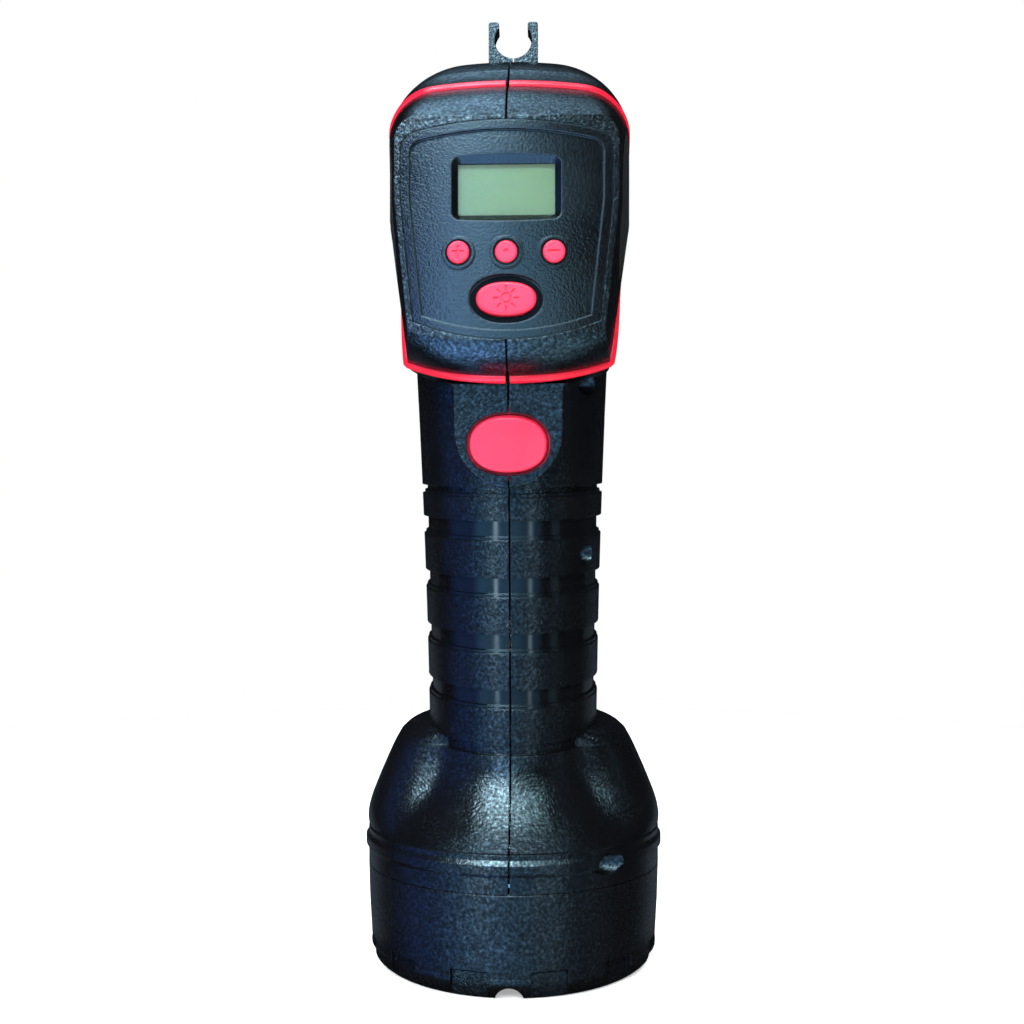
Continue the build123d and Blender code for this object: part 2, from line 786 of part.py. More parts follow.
with BuildPart() as key_rings:
    # Raised rings around the round buttons.
    with BuildSketch(panel_plane(PANEL_BACK_Y)):
        with Locations(*key_places):
            Circle(KEY_RING_RADIUS)
    extrude(amount=8)
    add(face_column(BORDER_RISE - KEY_RING_RISE), mode=Mode.INTERSECT)

with BuildPart() as control_panel:
    with BuildSketch(panel_plane(PANEL_BACK_Y)):
        add(panel_outline(0, 4, 7))
    extrude(amount=8)
    add(face_column(0), mode=Mode.INTERSECT)
    add(field.part, mode=Mode.SUBTRACT)
    add(key_rings.part)
    # Edge flange behind the housing's opening.
    with BuildSketch(panel_plane(PANEL_BACK_Y)):
        add(panel_outline(0, 4, 7))
        add(panel_outline(-PANEL_RIM, 3, 5), mode=Mode.SUBTRACT)
    extrude(amount=PANEL_BACK_Y - LEDGE_Y - 1.2)
    with BuildSketch(panel_plane(LEDGE_Y + 1.2)):
        add(panel_outline(PANEL_FLANGE, 5, 8))
        add(panel_outline(-PANEL_RIM, 3, 5), mode=Mode.SUBTRACT)
    extrude(amount=1.2)
    # Posts for the display board.
    with BuildSketch(panel_plane(BOARD_Y)):
        with Locations(*BOARD_POSTS):
            Circle(BOARD_POST_RADIUS)
            Circle(0.9, mode=Mode.SUBTRACT)
    extrude(amount=BOARD_Y - PANEL_BACK_Y)
    # LCD window: bevelled opening in front, pocket behind.
    with BuildSketch(panel_plane(inner_face_y - 0.2)):
        with Locations(LCD_CENTRE):
            RectangleRounded(*LCD_BEVEL, 2.2)
    with BuildSketch(panel_plane(WINDOW_FRONT_Y - 0.1)):
        with Locations(LCD_CENTRE):
            RectangleRounded(*LCD_OPENING, 1.0)
    loft(mode=Mode.SUBTRACT)
    with BuildSketch(panel_plane(PANEL_BACK_Y)):
        with Locations(LCD_CENTRE):
            Rectangle(*LCD_OPENING)
    extrude(amount=3, mode=Mode.SUBTRACT)
    with BuildSketch(panel_plane(PANEL_BACK_Y)):
        with Locations(LCD_CENTRE):
            Rectangle(LCD_GLASS[0] + 2 * FIT, LCD_GLASS[1] + 2 * FIT)
    extrude(amount=PANEL_BACK_Y - WINDOW_FRONT_Y, mode=Mode.SUBTRACT)
    # Button holes, and the oval recess.
    with BuildSketch(panel_plane(PANEL_BACK_Y)):
        with Locations(*key_places):
            Circle(KEY_HOLE_RADIUS)
        with Locations(LIGHT_KEY_CENTRE):
            add(oval(LIGHT_KEY_HALF[0] + 0.2, LIGHT_KEY_HALF[1] + 0.2))
    extrude(amount=8, mode=Mode.SUBTRACT)
    with BuildSketch(panel_plane(inner_face_y + 1.3)):
        with Locations(LIGHT_KEY_CENTRE):
            add(oval(*LIGHT_RECESS_HALF))
    extrude(amount=4, mode=Mode.SUBTRACT)
save(control_panel, "control_panel")

with BuildPart() as lcd_window:
    with BuildSketch(panel_plane(WINDOW_FRONT_Y + WINDOW_THICK)):
        with Locations(LCD_CENTRE):
            Rectangle(*LCD_GLASS)
    extrude(amount=WINDOW_THICK)
save(lcd_window, "lcd_window")

lcd_back_y = WINDOW_FRONT_Y + WINDOW_THICK + LCD_THICK
with BuildPart() as lcd_module:
    with BuildSketch(panel_plane(lcd_back_y)):
        with Locations(LCD_CENTRE):
            Rectangle(*LCD_GLASS)
    extrude(amount=LCD_THICK)
save(lcd_module, "lcd_module")

with BuildPart() as lcd_backlight:
    with BuildSketch(panel_plane(BOARD_Y)):
        with Locations(LCD_CENTRE):
            Rectangle(25, 15)
    extrude(amount=BOARD_Y - lcd_back_y)
    with BuildSketch(panel_plane(BOARD_Y)):
        with Locations((-12.5, LCD_CENTRE[1]), (12.5, LCD_CENTRE[1])):
            Rectangle(1, 8, mode=Mode.ADD)
    extrude(amount=2.2)
save(lcd_backlight, "lcd_backlight")

with BuildPart() as display_board:
    with BuildSketch(panel_plane(BOARD_Y + BOARD_THICK)):
        with Locations((0, 178.8)):
            RectangleRounded(38, 41, 3)
        with Locations(*BOARD_POSTS):
            Circle(1.1, mode=Mode.SUBTRACT)
    extrude(amount=BOARD_THICK)
save(display_board, "display_board")

with BuildPart() as controller_chip:
    with BuildSketch(panel_plane(BOARD_Y + BOARD_THICK + 1.3)):
        with Locations((0, 183)):
            Rectangle(10, 10)
    extrude(amount=1.3)
    with BuildSketch(panel_plane(BOARD_Y + BOARD_THICK + 0.4)):
        with Locations((0, 183)):
            with GridLocations(1.27, 11.4, 7, 2):
                Rectangle(0.5, 1.6)
    extrude(amount=0.4)
save(controller_chip, "controller_chip")

SWITCH_CUP_RADIUS = 2.6
STEM_RADIUS = 1.2
CUP_FRONT_Y = BOARD_Y - 2.5
STEM_TIP_Y = BOARD_Y - 1.6
with BuildPart() as keypad_switches:
    with BuildSketch(panel_plane(BOARD_Y)):
        with Locations(*key_places, LIGHT_KEY_CENTRE):
            Circle(SWITCH_CUP_RADIUS)
            Circle(STEM_RADIUS + 0.15, mode=Mode.SUBTRACT)
    extrude(amount=BOARD_Y - CUP_FRONT_Y)
save(keypad_switches, "keypad_switches")

with BuildPart() as board_screws:
    with BuildSketch(panel_plane(BOARD_Y + BOARD_THICK + 1.2)):
        with Locations(*BOARD_POSTS):
            Circle(1.9)
    extrude(amount=1.2)
    with BuildSketch(panel_plane(BOARD_Y + BOARD_THICK + 0.6)):
        with Locations(*BOARD_POSTS):
            Circle(0.88)
    extrude(amount=BOARD_THICK + 4)
save(board_screws, "board_screws")

# ---------------------------------------------------------------- small buttons
FLANGE_FRONT_Y = PANEL_BACK_Y + 0.1
KEY_FRONT_Y = inner_face_y - 0.9
LIGHT_KEY_FRONT_Y = inner_face_y - 0.3


def key_base(centre):
    """The stem behind a button's flange."""
    with BuildPart() as piece:
        with BuildSketch(panel_plane(STEM_TIP_Y)):
            with Locations(centre):
                Circle(STEM_RADIUS)
        extrude(amount=STEM_TIP_Y - FLANGE_FRONT_Y)
    return piece.part


for name, centre in zip(("plus_button", "mode_button", "minus_button"), key_places):
    with BuildPart() as key:
        add(key_base(centre))
        with BuildSketch(panel_plane(FLANGE_FRONT_Y + FLANGE_THICK)):
            with Locations(centre):
                Circle(KEY_FLANGE)
        extrude(amount=FLANGE_THICK)
        with BuildSketch(panel_plane(FLANGE_FRONT_Y)):
            with Locations(centre):
                Circle(KEY_RADIUS)
        extrude(amount=FLANGE_FRONT_Y - KEY_FRONT_Y)
        fillet(key.faces().sort_by(Axis.Y)[0].edges(), 0.5)
    save(key, name)

with BuildPart() as backlight_button:
    add(key_base(LIGHT_KEY_CENTRE))
    with BuildSketch(panel_plane(FLANGE_FRONT_Y + FLANGE_THICK)):
        with Locations(LIGHT_KEY_CENTRE):
            add(oval(LIGHT_KEY_HALF[0] + 1.1, LIGHT_KEY_HALF[1] + 1.1))
    extrude(amount=FLANGE_THICK)
    with BuildSketch(panel_plane(FLANGE_FRONT_Y)):
        with Locations(LIGHT_KEY_CENTRE):
            add(oval(*LIGHT_KEY_HALF))
    extrude(amount=FLANGE_FRONT_Y - LIGHT_KEY_FRONT_Y)
    fillet(backlight_button.faces().sort_by(Axis.Y)[0].edges(), 0.7)
save(backlight_button, "backlight_button")

# ---------------------------------------------------------------- thumb button and its switch
THUMB_FACE_HALF = (8.9, 6.3)
THUMB_BASE_HALF = (9.5, 7.05)
THUMB_EDGE = 0.5
THUMB_FRONT_V = BOSS_FACE_V - 2.6
THUMB_FLANGE_V = BOSS_FACE_V + BOSS_WALL + 0.1
THUMB_FLANGE_HALF = (11.2, 8.7)
THUMB_FLANGE_THICK = 1.2
THUMB_TRAVEL = 2.0
THUMB_STEM_RADIUS = 2.0
THUMB_STEM_TIP_V = SWITCH_BOARD_V - THUMB_TRAVEL - 0.3

with BuildPart() as thumb_button:
    with BuildSketch(front_plane(THUMB_FLANGE_V)):
        with Locations((0, THUMB_H)):
            add(oval(*THUMB_BASE_HALF))
    with BuildSketch(front_plane(THUMB_FRONT_V)):
        with Locations((0, THUMB_H)):
            add(oval(*THUMB_FACE_HALF))
    loft()
    fillet(thumb_button.faces().sort_by(Axis.Y)[0].edges(), THUMB_EDGE)
    with BuildSketch(front_plane(THUMB_FLANGE_V + THUMB_FLANGE_THICK)):
        with Locations((0, THUMB_H)):
            add(oval(*THUMB_FLANGE_HALF))
    extrude(amount=THUMB_FLANGE_THICK)
    with BuildSketch(front_plane(THUMB_STEM_TIP_V)):
        with Locations((0, THUMB_H)):
            Circle(THUMB_STEM_RADIUS)
    extrude(amount=THUMB_STEM_TIP_V - THUMB_FLANGE_V)
save(thumb_button, "thumb_button")

SPRING_WIRE = 0.4
SPRING_RADIUS = 4.6
SPRING_TURNS = 4
spring_low_v = SWITCH_BOARD_V - SPRING_WIRE
spring_high_v = THUMB_FLANGE_V + THUMB_FLANGE_THICK + SPRING_WIRE
spring_length = spring_low_v - spring_high_v
with BuildPart() as thumb_spring:
    for turn in range(SPRING_TURNS + 1):
        with BuildSketch(front_plane(spring_low_v - turn * spring_length / SPRING_TURNS)):
            with Locations((0, THUMB_H)):
                Circle(SPRING_RADIUS + SPRING_WIRE)
                Circle(SPRING_RADIUS - SPRING_WIRE, mode=Mode.SUBTRACT)
        extrude(amount=SPRING_WIRE, both=True)
    for turn in range(SPRING_TURNS):
        side = 1 if turn % 2 else -1
        with BuildSketch(front_plane(spring_low_v - turn * spring_length / SPRING_TURNS)):
            with Locations((side * SPRING_RADIUS, THUMB_H)):
                Circle(SPRING_WIRE - 0.1)
        extrude(amount=spring_length / SPRING_TURNS)
save(thumb_spring, "thumb_spring")

with BuildPart() as thumb_switch:
    with BuildSketch(front_plane(SWITCH_BOARD_V + SWITCH_BOARD_THICK)):
        with Locations((0, THUMB_H)):
            RectangleRounded(18.8, 14, 3)
    extrude(amount=SWITCH_BOARD_THICK)
    with BuildSketch(front_plane(SWITCH_BOARD_V)):
        with Locations((0, THUMB_H)):
            Rectangle(5.8, 5.8)
            Circle(THUMB_STEM_RADIUS + 0.15, mode=Mode.SUBTRACT)
    extrude(amount=3.2)
save(thumb_switch, "thumb_switch")

# ---------------------------------------------------------------- power board
with BuildPart() as power_board:
    with BuildSketch(front_plane(BOARD_HALF_THICK)):
        with Locations((0, (BOARD_LOW_H + BOARD_HIGH_H) / 2)):
            RectangleRounded(2 * BOARD_HALF_WIDTH, BOARD_HIGH_H - BOARD_LOW_H, 2)
    extrude(amount=2 * BOARD_HALF_THICK)
save(power_board, "power_board")

CORE_H = 32.0
CORE_FRONT_V = -12.8
WINDING_HALF_HEIGHT = 3.95
with BuildPart() as inverter_transformer:
    with BuildSketch(front_plane(-2.2)):
        with Locations((0, CORE_H)):
            Rectangle(18, 16)
        with Locations((-4.85, CORE_H), (4.85, CORE_H)):
            Rectangle(3.2, 8, mode=Mode.SUBTRACT)
    extrude(amount=-2.2 - CORE_FRONT_V)
save(inverter_transformer, "inverter_transformer")

with BuildPart() as transformer_winding:
    with BuildSketch(grip_plane.offset(CORE_H - WINDING_HALF_HEIGHT)):
        with Locations((0, (CORE_FRONT_V - 2.2) / 2)):
            RectangleRounded(12.8, -2.2 - CORE_FRONT_V + 2.6, 1.2)
            Rectangle(6.7, -2.2 - CORE_FRONT_V + 0.1, mode=Mode.SUBTRACT)
    extrude(amount=2 * WINDING_HALF_HEIGHT)
save(transformer_winding, "transformer_winding")

CAPACITOR_RADIUS = 7.0
with BuildPart() as storage_capacitor:
    with BuildSketch(grip_plane.offset(42)):
        with Locations((0, BOARD_HALF_THICK + CAPACITOR_RADIUS)):
            Circle(CAPACITOR_RADIUS)
    extrude(amount=28)
    fillet(storage_capacitor.edges().filter_by(GeomType.CIRCLE), 0.8)
save(storage_capacitor, "storage_capacitor")

with BuildPart() as trigger_coil:
    with BuildSketch(grip_plane.offset(62)):
        with Locations((0, -BOARD_HALF_THICK - 5)):
            Circle(5)
    extrude(amount=1.2)
    with BuildSketch(grip_plane.offset(63.2)):
        with Locations((0, -BOARD_HALF_THICK - 5)):
            Circle(4.2)
    extrude(amount=9.6)
    with BuildSketch(grip_plane.offset(72.8)):
        with Locations((0, -BOARD_HALF_THICK - 5)):
            Circle(5)
    extrude(amount=1.2)
save(trigger_coil, "trigger_coil")

with BuildPart() as power_transistor:
    with BuildSketch(front_plane(BOARD_HALF_THICK + 4.6)):
        with Locations((-9, 26)):
            Rectangle(10, 9)
    extrude(amount=4.6)
    with BuildSketch(front_plane(BOARD_HALF_THICK + 6)):
        with Locations((-9, 29)):
            Rectangle(12, 16)
    extrude(amount=1.4)
save(power_transistor, "power_transistor")

# ---------------------------------------------------------------- lead socket
SOCKET_BORE = 6.0
SOCKET_DEPTH = 7.0
SOCKET_FACE_Y = BACK_Y + 1.6
SOCKET_END_Y = 0.5
CONTACT_SPREAD = 2.1
contact_places = [
    (x, SOCKET_Z + z)
    for x in (-CONTACT_SPREAD, CONTACT_SPREAD)
    for z in (-CONTACT_SPREAD, CONTACT_SPREAD)
]
CONTACT_END_Y = -2.5

with BuildPart() as lead_socket:
    with BuildSketch(panel_plane(BACK_Y)):
        with Locations((0, SOCKET_Z)):
            Circle(SOCKET_RADIUS)
    extrude(amount=BACK_Y - SOCKET_END_Y)
    with BuildSketch(panel_plane(SOCKET_FACE_Y)):
        with Locations((0, SOCKET_Z)):
            Circle(9.6)
    extrude(amount=SOCKET_FACE_Y - BACK_Y)
    with BuildSketch(panel_plane(SOCKET_FACE_Y)):
        with Locations((0, SOCKET_Z)):
            Circle(SOCKET_BORE)
    extrude(amount=SOCKET_DEPTH, mode=Mode.SUBTRACT)
    with BuildSketch(panel_plane(SOCKET_FACE_Y)):
        with Locations(*contact_places):
            Circle(1.0)
    extrude(amount=20, mode=Mode.SUBTRACT)
save(lead_socket, "lead_socket")

with BuildPart() as socket_contacts:
    with BuildSketch(panel_plane(SOCKET_FACE_Y - SOCKET_DEPTH)):
        with Locations(*contact_places):
            Circle(1.0)
    extrude(amount=SOCKET_FACE_Y - SOCKET_DEPTH - CONTACT_END_Y)
    with BuildSketch(panel_plane(SOCKET_FACE_Y - SOCKET_DEPTH)):
        with Locations(*contact_places):
            Circle(0.6)
    extrude(amount=5, mode=Mode.SUBTRACT)
save(socket_contacts, "socket_contacts")

with BuildPart() as socket_nut:
    with BuildSketch(panel_plane(BACK_Y - WALL)):
        with Locations((0, SOCKET_Z)):
            RegularPolygon(10.8, 6)
            Circle(SOCKET_RADIUS, mode=Mode.SUBTRACT)
    extrude(amount=2.6)
save(socket_nut, "socket_nut")

# ---------------------------------------------------------------- inner wiring
WIRE_RADIUS = 0.7
CABLE_THICK = 0.5
CABLE_HALF_WIDTH = 6.0


def wires(routes, bend):
    """Round wires along the routes, each in straight runs joined by arcs."""
    with BuildPart() as piece:
        for route in routes:
            with BuildLine() as path:
                FilletPolyline(*route, radius=bend)
            with BuildSketch(path.line ^ 0):
                Circle(WIRE_RADIUS)
            sweep(path=path.line)
    return piece


socket_routes = []
for x, z in contact_places:
    upper = z > SOCKET_Z
    spread = x * (2.4 if upper else 1)
    socket_routes.append(
        [
            Vector(x, CONTACT_END_Y, z),
            Vector(x, -15 if upper else -11, z),
            grip_point(spread, BOARD_HALF_THICK + WIRE_RADIUS + 0.05, 94),
            grip_point(spread, BOARD_HALF_THICK + WIRE_RADIUS + 0.05, 84),
        ]
    )
save(wires(socket_routes, 3), "socket_wires")

lamp_routes = []
for side in (-1, 1):
    front_v = -BOARD_HALF_THICK - WIRE_RADIUS - 0.05
    lamp_routes.append(
        [
            Vector(side * TUBE_SPREAD, 0, TUBE_TOP + 2.6),
            Vector(side * TUBE_SPREAD, 0, 67.5),
            grip_point(side * 12, front_v, 17),
            grip_point(side * 12, front_v, 27),
        ]
    )
save(wires(lamp_routes, 2.2), "lamp_wires")

board_back_y = BOARD_Y + BOARD_THICK
with BuildPart() as display_cable:
    with BuildSketch(side_plane(-CABLE_HALF_WIDTH)):
        with BuildLine():
            top = grip_point(0, -BOARD_HALF_THICK - 0.35, 90)
            low = grip_point(0, -BOARD_HALF_THICK - 0.35, 79)
            FilletPolyline(
                (board_back_y + 0.35, 174),
                (board_back_y + 0.35, 161.5),
                (-28, 160),
                (top.Y, top.Z),
                (low.Y, low.Z),
                radius=3,
            )
        trace(line_width=CABLE_THICK)
    extrude(amount=2 * CABLE_HALF_WIDTH)
save(display_cable, "display_cable")
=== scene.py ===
"""Timing light: materials, moulded detail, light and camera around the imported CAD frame."""

import json
from math import asin, cos, degrees, pi, radians, sin, sqrt

import bmesh
import bpy
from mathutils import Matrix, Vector
from mathutils.bvhtree import BVHTree


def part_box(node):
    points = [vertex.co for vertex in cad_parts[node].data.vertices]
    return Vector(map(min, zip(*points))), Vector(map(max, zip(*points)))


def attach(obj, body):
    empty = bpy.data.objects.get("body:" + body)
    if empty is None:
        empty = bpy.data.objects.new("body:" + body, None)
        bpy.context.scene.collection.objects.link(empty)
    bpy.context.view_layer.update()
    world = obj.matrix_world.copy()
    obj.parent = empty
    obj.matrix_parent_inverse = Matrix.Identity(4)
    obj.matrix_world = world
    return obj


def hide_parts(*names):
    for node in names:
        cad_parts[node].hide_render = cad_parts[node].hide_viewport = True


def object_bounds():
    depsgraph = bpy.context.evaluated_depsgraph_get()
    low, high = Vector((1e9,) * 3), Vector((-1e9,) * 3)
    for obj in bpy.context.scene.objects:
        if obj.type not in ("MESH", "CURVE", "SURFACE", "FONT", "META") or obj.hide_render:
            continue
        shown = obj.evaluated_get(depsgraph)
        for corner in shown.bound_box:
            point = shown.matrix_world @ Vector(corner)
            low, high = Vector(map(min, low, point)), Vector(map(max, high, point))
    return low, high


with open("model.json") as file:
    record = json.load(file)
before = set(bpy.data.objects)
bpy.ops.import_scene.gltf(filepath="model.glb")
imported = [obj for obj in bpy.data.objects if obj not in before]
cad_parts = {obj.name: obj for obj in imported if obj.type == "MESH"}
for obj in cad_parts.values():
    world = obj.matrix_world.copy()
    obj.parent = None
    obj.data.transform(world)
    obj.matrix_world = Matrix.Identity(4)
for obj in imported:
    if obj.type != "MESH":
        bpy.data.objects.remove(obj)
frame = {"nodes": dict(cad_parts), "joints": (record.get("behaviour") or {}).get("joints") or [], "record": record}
cad_low, cad_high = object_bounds()

MM = 0.001
nodes = frame["nodes"]
joints = {joint["name"]: joint for joint in frame["joints"]}
press_axis = Vector(joints["thumb_press"]["axis"])
grip_up = Vector((0, -press_axis.z, press_axis.y))


def middle(node):
    """Centre of a CAD node's box."""
    low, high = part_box(node)
    return (low + high) / 2


# ---------------------------------------------------------------- materials
class Look:
    """A node material that starts as a plain Principled surface and gains detail step by step."""

    def __init__(self, name, colour, roughness, metallic=0.0, specular=0.5):
        self.material = bpy.data.materials.new(name)
        self.material.use_nodes = True
        self.tree = self.material.node_tree
        self.shader = self.tree.nodes["Principled BSDF"]
        self.shader.inputs["Base Color"].default_value = (*colour, 1)
        self.shader.inputs["Roughness"].default_value = roughness
        self.shader.inputs["Metallic"].default_value = metallic
        self.shader.inputs["Specular IOR Level"].default_value = specular
        self.colour = None
        self.roughness = None
        self.normal = None
        self.material.diffuse_color = (*colour, 1)
        self.place = self.add("ShaderNodeTexCoord").outputs["Object"]

    def add(self, kind, **settings):
        """A node with its settings, and its inputs set by name or linked from another socket."""
        node = self.tree.nodes.new(kind)
        for key, value in settings.items():
            if hasattr(node, key):
                setattr(node, key, value)
            else:
                self.feed(node.inputs[key.replace("_", " ")], value)
        return node

    def feed(self, socket, value):
        """Links a socket to an input, or sets the input to a plain value."""
        if isinstance(value, bpy.types.NodeSocket):
            self.tree.links.new(value, socket)
        else:
            socket.default_value = value

    def math(self, operation, *values):
        node = self.add("ShaderNodeMath", operation=operation)
        for socket, value in zip(node.inputs, values):
            self.feed(socket, value)
        return node.outputs[0]

    def noise(self, size_mm, detail=2.0, stretch=(1, 1, 1)):
        """Noise with features of about size_mm, stretched along the object's axes."""
        mapping = self.add("ShaderNodeMapping")
        self.feed(mapping.inputs["Vector"], self.place)
        mapping.inputs["Scale"].default_value = [1 / s for s in stretch]
        node = self.add("ShaderNodeTexNoise", Scale=1 / (size_mm * MM), Detail=detail)
        self.feed(node.inputs["Vector"], mapping.outputs[0])
        return node.outputs["Fac"]

    def between(self, value, low, high, bottom=0.0, top=1.0):
        """value, mapped from low..high to bottom..top and held there."""
        node = self.add("ShaderNodeMapRange", clamp=True)
        for socket, number in zip(node.inputs[:5], (value, low, high, bottom, top)):
            self.feed(socket, number)
        return node.outputs[0]

    def mix(self, share, first, second):
        node = self.add("ShaderNodeMix", data_type="RGBA")
        self.feed(node.inputs[0], share)
        self.feed(node.inputs[6], first)
        self.feed(node.inputs[7], second)
        return node.outputs[2]

    def soften(self, radius_mm):
        """Rounds the sharp edges of the mesh in the shading."""
        node = self.add("ShaderNodeBevel", samples=4, Radius=radius_mm * MM)
        self.normal = node.outputs[0]
        return self

    def bump(self, height, depth_mm, strength):
        """Relief from a height between 0 and 1, on top of any relief already there."""
        node = self.add("ShaderNodeBump", Strength=strength, Distance=depth_mm * MM)
        self.feed(node.inputs["Height"], height)
        if self.normal is not None:
            self.feed(node.inputs["Normal"], self.normal)
        self.normal = node.outputs[0]
        return self

    def vary(self, spread, size_mm=14.0):
        """Roughness that wanders by spread either side of its value."""
        level = self.shader.inputs["Roughness"].default_value
        patch = self.noise(size_mm, 4)
        shift = self.between(patch, 0.35, 0.65, -spread, spread)
        self.roughness = self.math("ADD", level, shift)
        return self

    def mottle(self, other, size_mm):
        """Patches of another colour."""
        start = self.colour or self.shader.inputs["Base Color"].default_value[:]
        patches = self.between(self.noise(size_mm, 4), 0.4, 0.7)
        self.colour = self.mix(patches, start, (*other, 1))
        return self

    def edge_rub_and_highlight(self, other, radius_mm=0.35, amount=0.5):
        """A paler line along the edges, broken up by noise: rubbed wear on some pieces, and a painted edge
        highlight on the black shells and the panel.
        """
        rounded = self.add("ShaderNodeBevel", samples=4, Radius=radius_mm * MM).outputs[0]
        flat = self.add("ShaderNodeNewGeometry").outputs["Normal"]
        dot = self.add("ShaderNodeVectorMath", operation="DOT_PRODUCT")
        self.feed(dot.inputs[0], rounded)
        self.feed(dot.inputs[1], flat)
        edge = self.between(dot.outputs["Value"], 0.985, 0.86)
        broken = self.between(self.noise(1.6, 3), 0.3, 0.7, 0.35, 1.0)
        share = self.math("MULTIPLY", self.math("MULTIPLY", edge, broken), amount)
        start = self.colour or self.shader.inputs["Base Color"].default_value[:]
        self.colour = self.mix(share, start, (*other, 1))
        return self

    def done(self):
        """The finished material, with the gathered colour, roughness and normal linked in."""
        for value, name in (
            (self.colour, "Base Color"),
            (self.roughness, "Roughness"),
            (self.normal, "Normal"),
        ):
            if value is not None:
                self.feed(self.shader.inputs[name], value)
        return self.material


SHELL = (0.0018, 0.0021, 0.0027)
BUTTON = (0.82, 0.026, 0.070)
LCD_GREEN = (0.078, 0.160, 0.048)

# The grip leans, so its heights run along its own axis, in millimetres from its foot.
GRIP_BASE = Vector((0, -1, 57)) * MM
FIRST_GROOVE_H = 15.45
GROOVE_PITCH_H = 14.1
GROOVE_HEIGHT_H = 4.85
GROOVED_MIDDLE_H = 39.5
GROOVED_REACH_H = 31.5
GRIP_HALF_WIDTH = 24.2 * MM

POLISHED_ROUGHNESS = 0.14
POLISHED_GLOSS = 0.6
GRAIN_GLOSS = 0.12
SPARKLE = 3.0  # how strongly the moulded grain glitters

# Width and height of each key's face, and the width of the gap round it that gets painted shade.
SMALL_KEY = (5.0 * MM, 5.0 * MM, 0.55 * MM)
KEY_FACES = {
    "plus_button": SMALL_KEY,
    "mode_button": SMALL_KEY,
    "minus_button": SMALL_KEY,
    "backlight_button": (13.5 * MM, 7.6 * MM, 1.6 * MM),
}
# How much gloss the key gaps and the oval recess lose, as painted shade.
KEY_GAP_SHADE_DULLING = 0.46


def grip_height(look):
    """Height up the leaning grip in millimetres, for a material's point."""
    away = look.add("ShaderNodeVectorMath", operation="SUBTRACT")
    look.feed(away.inputs[0], look.place)
    away.inputs[1].default_value = GRIP_BASE
    along = look.add("ShaderNodeVectorMath", operation="DOT_PRODUCT")
    look.feed(along.inputs[0], away.outputs[0])
    along.inputs[1].default_value = grip_up
    return look.math("MULTIPLY", along.outputs["Value"], 1000)


def in_groove(look):
    """1 in the valleys between the grip's bands, and 0 elsewhere."""
    height = grip_height(look)
    turn = look.math("SUBTRACT", height, FIRST_GROOVE_H)
    turn = look.math("FRACT", look.math("DIVIDE", turn, GROOVE_PITCH_H))
    valley = look.math("LESS_THAN", turn, GROOVE_HEIGHT_H / GROOVE_PITCH_H)
    off_middle = look.math("ABSOLUTE", look.math("SUBTRACT", height, GROOVED_MIDDLE_H))
    on_grip = look.math("LESS_THAN", off_middle, GROOVED_REACH_H)
    split = look.add("ShaderNodeSeparateXYZ")
    look.feed(split.inputs[0], look.place)
    narrow = look.math("LESS_THAN", look.math("ABSOLUTE", split.outputs[0]), GRIP_HALF_WIDTH)
    return look.math("MULTIPLY", look.math("MULTIPLY", valley, on_grip), narrow)


def key_gap_shade_mask(look):
    """1 in the oval recess and in the gaps round the small keys, and 0 on the open panel: where painted shade
    goes.
    """
    split = look.add("ShaderNodeSeparateXYZ")
    look.feed(split.inputs[0], look.place)
    mask = None
    for node, (width, height, gap) in KEY_FACES.items():
        centre = middle(node)
        across = look.math("SUBTRACT", split.outputs[0], centre.x)
        across = look.math("DIVIDE", across, width / 2 + gap)
        up = look.math("SUBTRACT", split.outputs[2], centre.z)
        up = look.math("DIVIDE", up, height / 2 + gap)
        squares = look.math("ADD", look.math("POWER", across, 2), look.math("POWER", up, 2))
        inside = look.between(look.math("SQRT", squares), 0.97, 1.01, 1, 0)
        mask = inside if mask is None else look.math("MAXIMUM", mask, inside)
    return mask


def black_shell(name, roughness, grooves=False):
    """Moulded black ABS with a fine grain that glitters.

    With grooves, the valleys between the grip's bands are polished and have no grain.
    """
    look = Look(name, SHELL, roughness)
    look.soften(0.35)
    look.vary(0.04)
    grain = look.noise(0.6, 2)
    sparkle = look.math("MULTIPLY", look.math("POWER", look.noise(0.8, 2), 3), SPARKLE)
    gloss = look.math("ADD", GRAIN_GLOSS, sparkle)
    if grooves:
        polished = in_groove(look)
        grainy = look.math("SUBTRACT", 1.0, polished)
        drop = look.math("MULTIPLY", polished, roughness - POLISHED_ROUGHNESS)
        look.roughness = look.math("SUBTRACT", look.roughness, drop)
        grain = look.math("MULTIPLY", grain, grainy)
        gloss = look.math("MULTIPLY", gloss, grainy)
        gloss = look.math("ADD", gloss, look.math("MULTIPLY", polished, POLISHED_GLOSS))
    look.bump(grain, 0.11, 0.9)
    look.bump(look.noise(7, 3), 0.05, 0.25)
    look.mottle([c * 1.4 for c in SHELL], 22)
    # Paler line along the edges: partly rubbed wear and partly a painted edge highlight.
    look.edge_rub_and_highlight([c * 3 + 0.003 for c in SHELL], 0.3, 0.25)
    look.feed(look.shader.inputs["Specular IOR Level"], gloss)
    return look.done()


def panel_shell(name, roughness):
    """The panel's finer grain, with a painted highlight along its edges and painted shade in the gaps round the
    keys, where the gloss is taken away.
    """
    look = Look(name, SHELL, roughness)
    look.soften(0.5)
    look.vary(0.04)
    look.bump(look.noise(0.55, 2), 0.07, 0.9)
    look.bump(look.noise(7, 3), 0.05, 0.25)
    look.mottle([c * 1.4 for c in SHELL], 22)
    # Painted highlight: a pale bluish line along the border lips, the key rings and the edges of the recesses.
    look.edge_rub_and_highlight((0.09, 0.12, 0.13), 0.25, 0.7)
    # Painted shade: the gloss is taken away in the key gaps and the oval recess so they show dark.
    shade_dulling = look.math("MULTIPLY", key_gap_shade_mask(look), KEY_GAP_SHADE_DULLING)
    look.feed(look.shader.inputs["Specular IOR Level"], look.math("SUBTRACT", 0.5, shade_dulling))
    return look.done()


